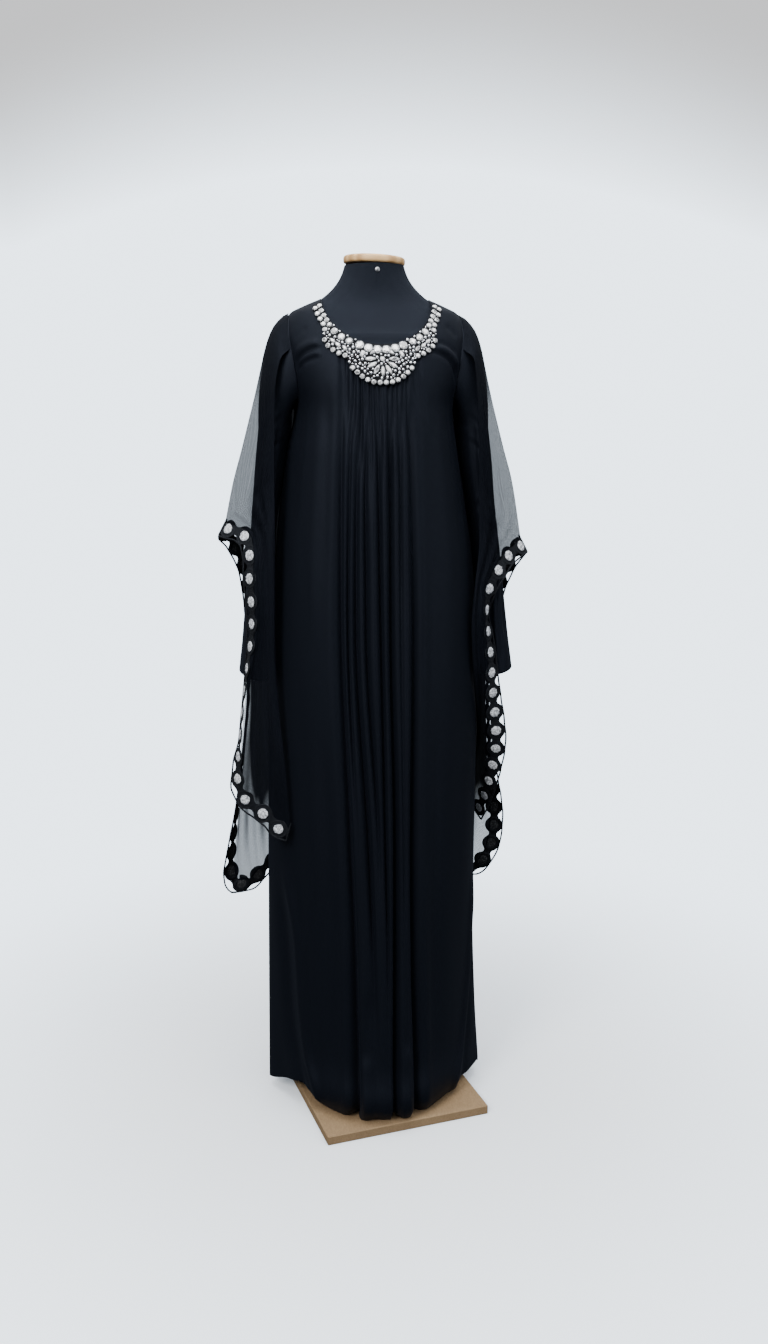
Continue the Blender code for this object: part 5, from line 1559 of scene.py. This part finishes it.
def stone_outline(kind, shift=0.0):
    """Girdle of a cut stone one unit wide, as right and up, drawn out of a formula."""
    turn = (np.arange(STONE_SIDES) + shift) / STONE_SIDES * TWO_PI
    cosine, sine = np.cos(turn), np.sin(turn)
    right, up = cosine / 2, sine / 2
    if kind == "marquise":
        up = np.sign(up) * np.abs(2 * up) ** 1.35 / 2 * 2.3
        right = right * np.abs(cosine) ** 0.12
    elif kind == "pear":
        right, up = right * (1 - 0.42 * (sine + 1) / 2 * (sine > -0.2)), up * 1.55
    elif kind == "oblong":
        square = np.minimum(1 / np.maximum(np.abs(cosine), np.abs(sine)), 1.22)
        right, up = right * square, up * square * 1.55
    return np.stack([right, up], axis=1)


def raised(flat, height):
    return np.column_stack([flat, np.full(len(flat), height)])


def cut_stone(kind):
    """Facets of a cut stone: its points as right, up and height, and its faces."""
    points = [raised(stone_outline(kind, shift) * share, height) for share, height, shift in STONE_RINGS]
    faces = []
    for i in range(STONE_SIDES):
        j = (i + 1) % STONE_SIDES
        a, b, c, d = ((k * STONE_SIDES + i, k * STONE_SIDES + j) for k in range(4))
        faces += [(*a, *b[::-1]), (*b, c[0]), (c[0], b[1], c[1]), (*c, d[1]), (c[0], *d[::-1])]
    faces.append(tuple(range(3 * STONE_SIDES, 4 * STONE_SIDES)))
    return np.concatenate(points), faces


def setting(kind):
    """Metal rim round a stone, a little wider than it, with claws."""
    girdle = stone_outline(kind)
    points = [raised(girdle * share, height) for share, height in SETTING_RINGS]
    faces = grid_faces(len(points), STONE_SIDES, wrap=True)
    base = len(points) * STONE_SIDES
    for foot in girdle[STONE_SIDES // 8::STONE_SIDES // 4]:
        way = unit(foot)
        aside = np.array((-way[1], way[0])) * CLAW_HALF
        points += [raised([foot * out - aside, foot * out + aside], height) for out, height in CLAW]
        faces += [(base, base + 1, base + 3, base + 2), (base + 2, base + 3, base + 5, base + 4)]
        base += 6
    return np.concatenate(points), faces


def bead(steps=8):
    turn = np.arange(steps) / steps * TWO_PI
    points = [*(ring(width / 2, height, turn) for width, height in BEAD_RINGS), [[0, 0, 1.0]]]
    faces = grid_faces(len(BEAD_RINGS), steps, wrap=True)
    faces += [(2 * steps + i, 2 * steps + (i + 1) % steps, 3 * steps) for i in range(steps)]
    return np.concatenate(points), faces


def paint_facet_lights(count, chance):
    """Painted reflection on each facet of a stone, its table last: about half near white, the rest dark."""
    facet_lights = np.where(chance.random(count) < 0.55, chance.uniform(0.85, 1.0, count),
                     chance.uniform(0.0, 0.35, count))
    facet_lights[-1] = chance.uniform(0.85, 1.0) if chance.random() < 0.64 else chance.uniform(0.05, 0.30)
    return facet_lights


def put_on_bib(heap, shape, flat, size, rise, angle, height, facet_lights=()):
    points, faces = shape
    cosine, sine = math.cos(angle), math.sin(angle)
    local = points[:, :2] @ np.array(((cosine, sine), (-sine, cosine))) * size
    origin, right, up, out = bib_place(flat, height)
    heap.put(origin + local[:, :1] * right + local[:, 1:] * up + points[:, 2:] * rise * out, faces, facet_lights)


def bib_piece(heap, name, material, flat=True):
    part = mesh_object(name, np.concatenate(heap.points), heap.faces, [material])
    if flat:
        part.data.shade_flat()
    if heap.values:
        # Keeps the painted reflection of each facet for the stone material
        part.data.attributes.new("painted_facet_light", "FLOAT", "FACE").data.foreach_set("value", heap.values)
    return place_piece(part, "crystal_bib")


RIM_STONE, SIDE_STONE, STRIP_STONE = 0.0088, 0.0124, 0.009384
# Rows of round stones on each side of the bib: share of its width, start and end in degrees round
# the neck, width of a stone and spacing
SIDE_ROWS = ((0.215, 27.5, 53, SIDE_STONE, 0.0142), (0.255, 54.0, 83, STRIP_STONE, 0.0098),
             (0.775, 54.5, 83, STRIP_STONE, 0.0098), (0.920, 28.5, 53, RIM_STONE, 0.0104))


def stone_layout():
    """Every set stone: kind, place in front view, width and turn."""
    stones = []

    def row(share, start, end, size, spacing):
        stones.extend(("round", place, size, way) for place, way in bib_line(share, start, end, spacing))

    row(0.135, -25.5, 25.5, 0.0148, 0.0166)
    row(0.945, -25.0, 25.0, RIM_STONE, 0.0104)
    for side in (-1, 1):
        for share, start, end, size, spacing in SIDE_ROWS:
            row(share, side * start, side * end, size, spacing)
        for around in (33, 39, 45):
            stones.append(("pear", bib_point(side * around, 0.60), 0.0078, -side * math.radians(around + 8)))
    stones.append(("round", FAN_CENTRE, 0.0088, 0.0))
    for k in range(FAN_STONES):
        turn = math.radians(-90 + (k - (FAN_STONES - 1) / 2) * 30)
        reach = FAN_REACH * np.array((math.cos(turn), math.sin(turn)))
        stones.append(("marquise", FAN_CENTRE + reach, 0.0078, turn - math.pi / 2))
    for side in (-1, 1):
        stones.append(("oblong", FAN_CENTRE + (side * 0.0335, 0.0085), 0.0074, side * 0.35))
        stones.append(("pear", FAN_CENTRE + (side * 0.0165, 0.0105), 0.0066, math.pi + side * 0.9))
    return stones


STONE_REACH = {"round": 0.0, "marquise": 0.62, "pear": 0.35, "oblong": 0.35}


def covers(kind, place, size, turn):
    """Circles that stand for a stone's footprint, as place and radius."""
    if kind == "round":
        return [(*place, size / 2)]
    way = STONE_REACH[kind] * size * np.array((-math.sin(turn), math.cos(turn)))
    return [(*place, size * 0.49), (*(place + way), size * 0.375), (*(place - way), size * 0.375)]


def bead_layout(taken, chance):
    """Beads that fill the gaps between circles already taken, as place and radius."""
    beads = np.zeros((0, 3))
    ends = BIB_SHAPE["around"][-1]
    for size in BEAD_SIZES:
        tries = chance.random((7000, 2))
        for spot in bib_point((tries[:, 0] * 2 - 1) * (ends - 0.8), 0.03 + 0.955 * tries[:, 1]):
            if not any((np.hypot(*(held[:, :2] - spot).T) < held[:, 2] + size * room).any()
                       for held, room in ((taken, 0.50), (beads, 0.60))):
                beads = np.vstack([beads, (*spot, size * 0.5)])
    return beads


def make_bib():
    """Stiff black ground with set stones and a fill of small beads."""
    chance = np.random.default_rng(31)
    ends = BIB_SHAPE["around"][-1]
    flat = np.array([bib_point(np.linspace(-ends, ends, BIB_COLUMNS), share) for share in BIB_ROWS])
    scallop = SCALLOP * np.abs(np.sin(math.pi * run_of(flat[-1]) / SCALLOP_PITCH)) - SCALLOP_BACK
    flat[-1] += unit(flat[-1] - flat[-2]) * scallop[:, None]
    round_off = BIB_ROUNDING * (1 - ramp(np.minimum(BIB_ROWS, 1 - BIB_ROWS), 0, 0.05))
    points = bib_place(flat, (BIB_BASE - round_off)[:, None] * np.ones(BIB_COLUMNS))[0]
    ground = grid_object("bib_ground_cloth", points, GROUND, -1)
    thicken(ground, BIB_GROUND - 0.0002)
    stones, settings, beads = Heap(), Heap(), Heap()
    taken = []
    for kind, place, size, turn in stone_layout():
        stone = cut_stone(kind)
        width, rise = size * 0.95, min(STONE_TOP, size * 0.38)
        # Painted reflections, one for each facet of the stone
        facet_lights = paint_facet_lights(len(stone[1]), chance)
        put_on_bib(stones, stone, place, width, rise, turn, BIB_BASE + 0.0003, facet_lights)
        put_on_bib(settings, setting(kind), place, width, rise, turn, BIB_BASE)
        taken += covers(kind, place, size * 1.06, turn)
    for *spot, half in bead_layout(np.array(taken), chance):
        put_on_bib(beads, bead(), np.array(spot), 2 * half, 1.5 * half, chance.uniform(0, 1), BIB_BASE)
    return [place_piece(ground, "crystal_bib", "bib"), bib_piece(stones, "bib_stones", CLEAR),
            bib_piece(settings, "bib_settings", SILVER),
            bib_piece(beads, "bib_beads", BEAD_SILVER, flat=False)]


# Stage, light and camera

LIGHT_LOW, LIGHT_HIGH = (0.10, 0.11, 0.125), (1.75, 1.82, 1.92)
PAPER, PAPER_HIGH = (2.95, 3.34, 3.74), (0.92, 0.93, 0.95)
FLOOR_RADIUS = 30.0
FLOOR_CLEAR, FLOOR_GLOW = (0.30, 1.5), 0.06
DOME_LOW, DOME_HIGH = 0.240 * FLOOR_RADIUS, 0.385 * FLOOR_RADIUS
DOME_AXIS = 3.65
DOME_CORNER, DOME_CORNER_MOST = 0.0256, 2.0
DOME_SIDES = 96


def make_world():
    world = bpy.data.worlds.new("studio")
    bpy.context.scene.world = world
    made = Nodes(world)
    made.tree.nodes.clear()
    rise = made.add("SeparateXYZ", {"Vector": made.place("Generated")}).outputs["Z"]
    colour = made.blend(rise, LIGHT_LOW, LIGHT_HIGH, 0.1, 0.9)
    light = made.add("Background", {"Color": colour, "Strength": 1.0})
    made.link(light.outputs[0], made.add("OutputWorld").inputs["Surface"])


def stage_paper(name, points, faces, material):
    """Puts out a sheet of paper that lights nothing on the object."""
    paper = mesh_object(name, points, faces, [material])
    paper.visible_diffuse = False
    paper.visible_glossy = False
    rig.stage(paper)
    return paper


def make_backdrop():
    """Pale dome that only the camera sees, a little darker towards its top."""
    made = Nodes(bpy.data.materials.new("backdrop_paper"))
    made.tree.nodes.clear()
    place = made.add("SeparateXYZ", {"Vector": made.place()}).outputs
    aside = made.maths("SUBTRACT", place["X"], DOME_AXIS)
    corner = made.maths("MULTIPLY", made.maths("MULTIPLY", aside, aside), DOME_CORNER)
    rise = made.maths("ADD", place["Z"], made.maths("MINIMUM", corner, DOME_CORNER_MOST))
    left = made.mapped(rise, DOME_LOW, DOME_HIGH, (1.0, 0.0))
    colour = made.blend(made.maths("MULTIPLY", left, left), PAPER_HIGH, PAPER)
    glow = made.add("Emission", {"Color": colour})
    made.link(glow.outputs[0], made.add("OutputMaterial").inputs["Surface"])
    bend = np.linspace(0, math.pi / 2 * 0.98, 24)
    rings = [ring(FLOOR_RADIUS * math.cos(b), FLOOR_RADIUS * math.sin(b), circle(DOME_SIDES)) for b in bend]
    last = (len(bend) - 1) * DOME_SIDES
    faces = grid_faces(len(bend), DOME_SIDES, wrap=True, flip=True) + [tuple(range(last, last + DOME_SIDES))]
    stage_paper("backdrop", rings, faces, made.owner).visible_shadow = False


def make_floor():
    """Pale floor that fades into the backdrop away from the object."""
    made = Look("floor_paper", 0.6)
    made.shader.inputs["Base Color"].default_value = (0.80, 0.83, 0.86, 1)
    far = made.add("VectorMath", {0: made.place()}, operation="LENGTH").outputs["Value"]
    share = made.mapped(far, *FLOOR_CLEAR, kind="SMOOTHSTEP")
    glow, glow_near = (made.add("Emission", {"Color": (*PAPER, 1), "Strength": strength}).outputs[0]
                       for strength in (1.0, FLOOR_GLOW))
    near = made.add("AddShader", {0: made.shader.outputs[0], 1: glow_near}).outputs[0]
    mix = made.add("MixShader", {0: share, 1: near, 2: glow}).outputs[0]
    made.link(mix, made.tree.nodes["Material Output"].inputs["Surface"])
    stage_paper("floor", ring(FLOOR_RADIUS, 0.0, circle(DOME_SIDES)), [tuple(range(DOME_SIDES))], made.owner)


def area_light(name, place, target, size, power, colour):
    data = bpy.data.lights.new(name, "AREA")
    data.energy = power
    data.color = colour
    data.size = size
    lamp = bpy.data.objects.new(name, data)
    bpy.context.scene.collection.objects.link(lamp)
    lamp.location = place
    lamp.rotation_euler = (Vector(target) - Vector(place)).to_track_quat("-Z", "Y").to_euler()
    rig.stage(lamp)


def make_camera():
    data = bpy.data.cameras.new("camera")
    data.sensor_fit = "VERTICAL"
    data.sensor_height = 36
    data.lens = 33
    camera = bpy.data.objects.new("camera", data)
    bpy.context.scene.collection.objects.link(camera)
    camera.location = (-0.262, -2.280, 1.32)
    camera.rotation_euler = (math.radians(78.3), 0, math.radians(-7))
    bpy.context.scene.camera = camera


# Cut of each piece of cloth: width and length of the rectangle it fits in, and its flat area
CUTS = {
    "robe_front": (0.74, 1.53, 0.920), "robe_back": (0.70, 1.52, 0.890),
    "robe_sleeve_left": (0.34, 0.66, 0.160), "robe_sleeve_right": (0.34, 0.66, 0.163),
    "net_wing_front_left": (0.15, 0.93, 0.070), "net_wing_front_right": (0.15, 0.96, 0.067),
    "net_wing_back_left": (0.19, 1.11, 0.124), "net_wing_back_right": (0.18, 1.09, 0.118),
}


def hung(piece, rests_on, with_pieces=()):
    width, length, area = CUTS[piece.name]
    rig.sheet(piece, flat=(width, length), area=area, held="hung", rests_on=rests_on, with_pieces=with_pieces)


def main():
    make_stand()
    front_cloth, front = make_panel("front", FRONT_FOLDS, 1, FRONT_NECK_DROP, FRONT_CREASES)
    back_cloth, back = make_panel("back", BACK_FOLDS, -1, BACK_NECK_DROP, BACK_CREASES)
    over = []
    seed = 5
    for name, side in (("left", -1), ("right", 1)):
        sleeve = make_sleeve(name, front, back, side)
        over.append((sleeve, [front_cloth, back_cloth]))
        for half, face, panel in (("front", 1, front_cloth), ("back", -1, back_cloth)):
            key = half + "_" + name
            net = make_wing(key, wing_top(front, back, side, face), side, face)
            over.append((net, [panel, sleeve], [make_lace(key, side, face, seed)]))
            seed += 1
    binding = make_neck_binding(front, back)
    hung(front_cloth, ["form_cover"], [binding, *make_bib()])
    hung(back_cloth, ["form_cover"])
    for cloth in over:
        hung(*cloth)
    make_world()
    make_floor()
    make_backdrop()
    area_light("key", (-2.2, -3.0, 3.2), (0, 0, 1.0), 1.4, 180, (1.0, 0.99, 0.97))
    area_light("fill", (2.6, -2.4, 1.8), (0, 0, 0.9), 2.0, 42, (0.95, 0.98, 1.0))
    area_light("top", (0.0, -0.6, 3.6), (0, 0, 1.2), 2.4, 104, (0.97, 0.99, 1.0))
    make_camera()


main()
with open("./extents.json", "w") as sizes:
    json.dump({"cad": [list(corner) for corner in cad_box], "dressed": [list(corner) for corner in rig.bounds()]},
              sizes, indent=1)
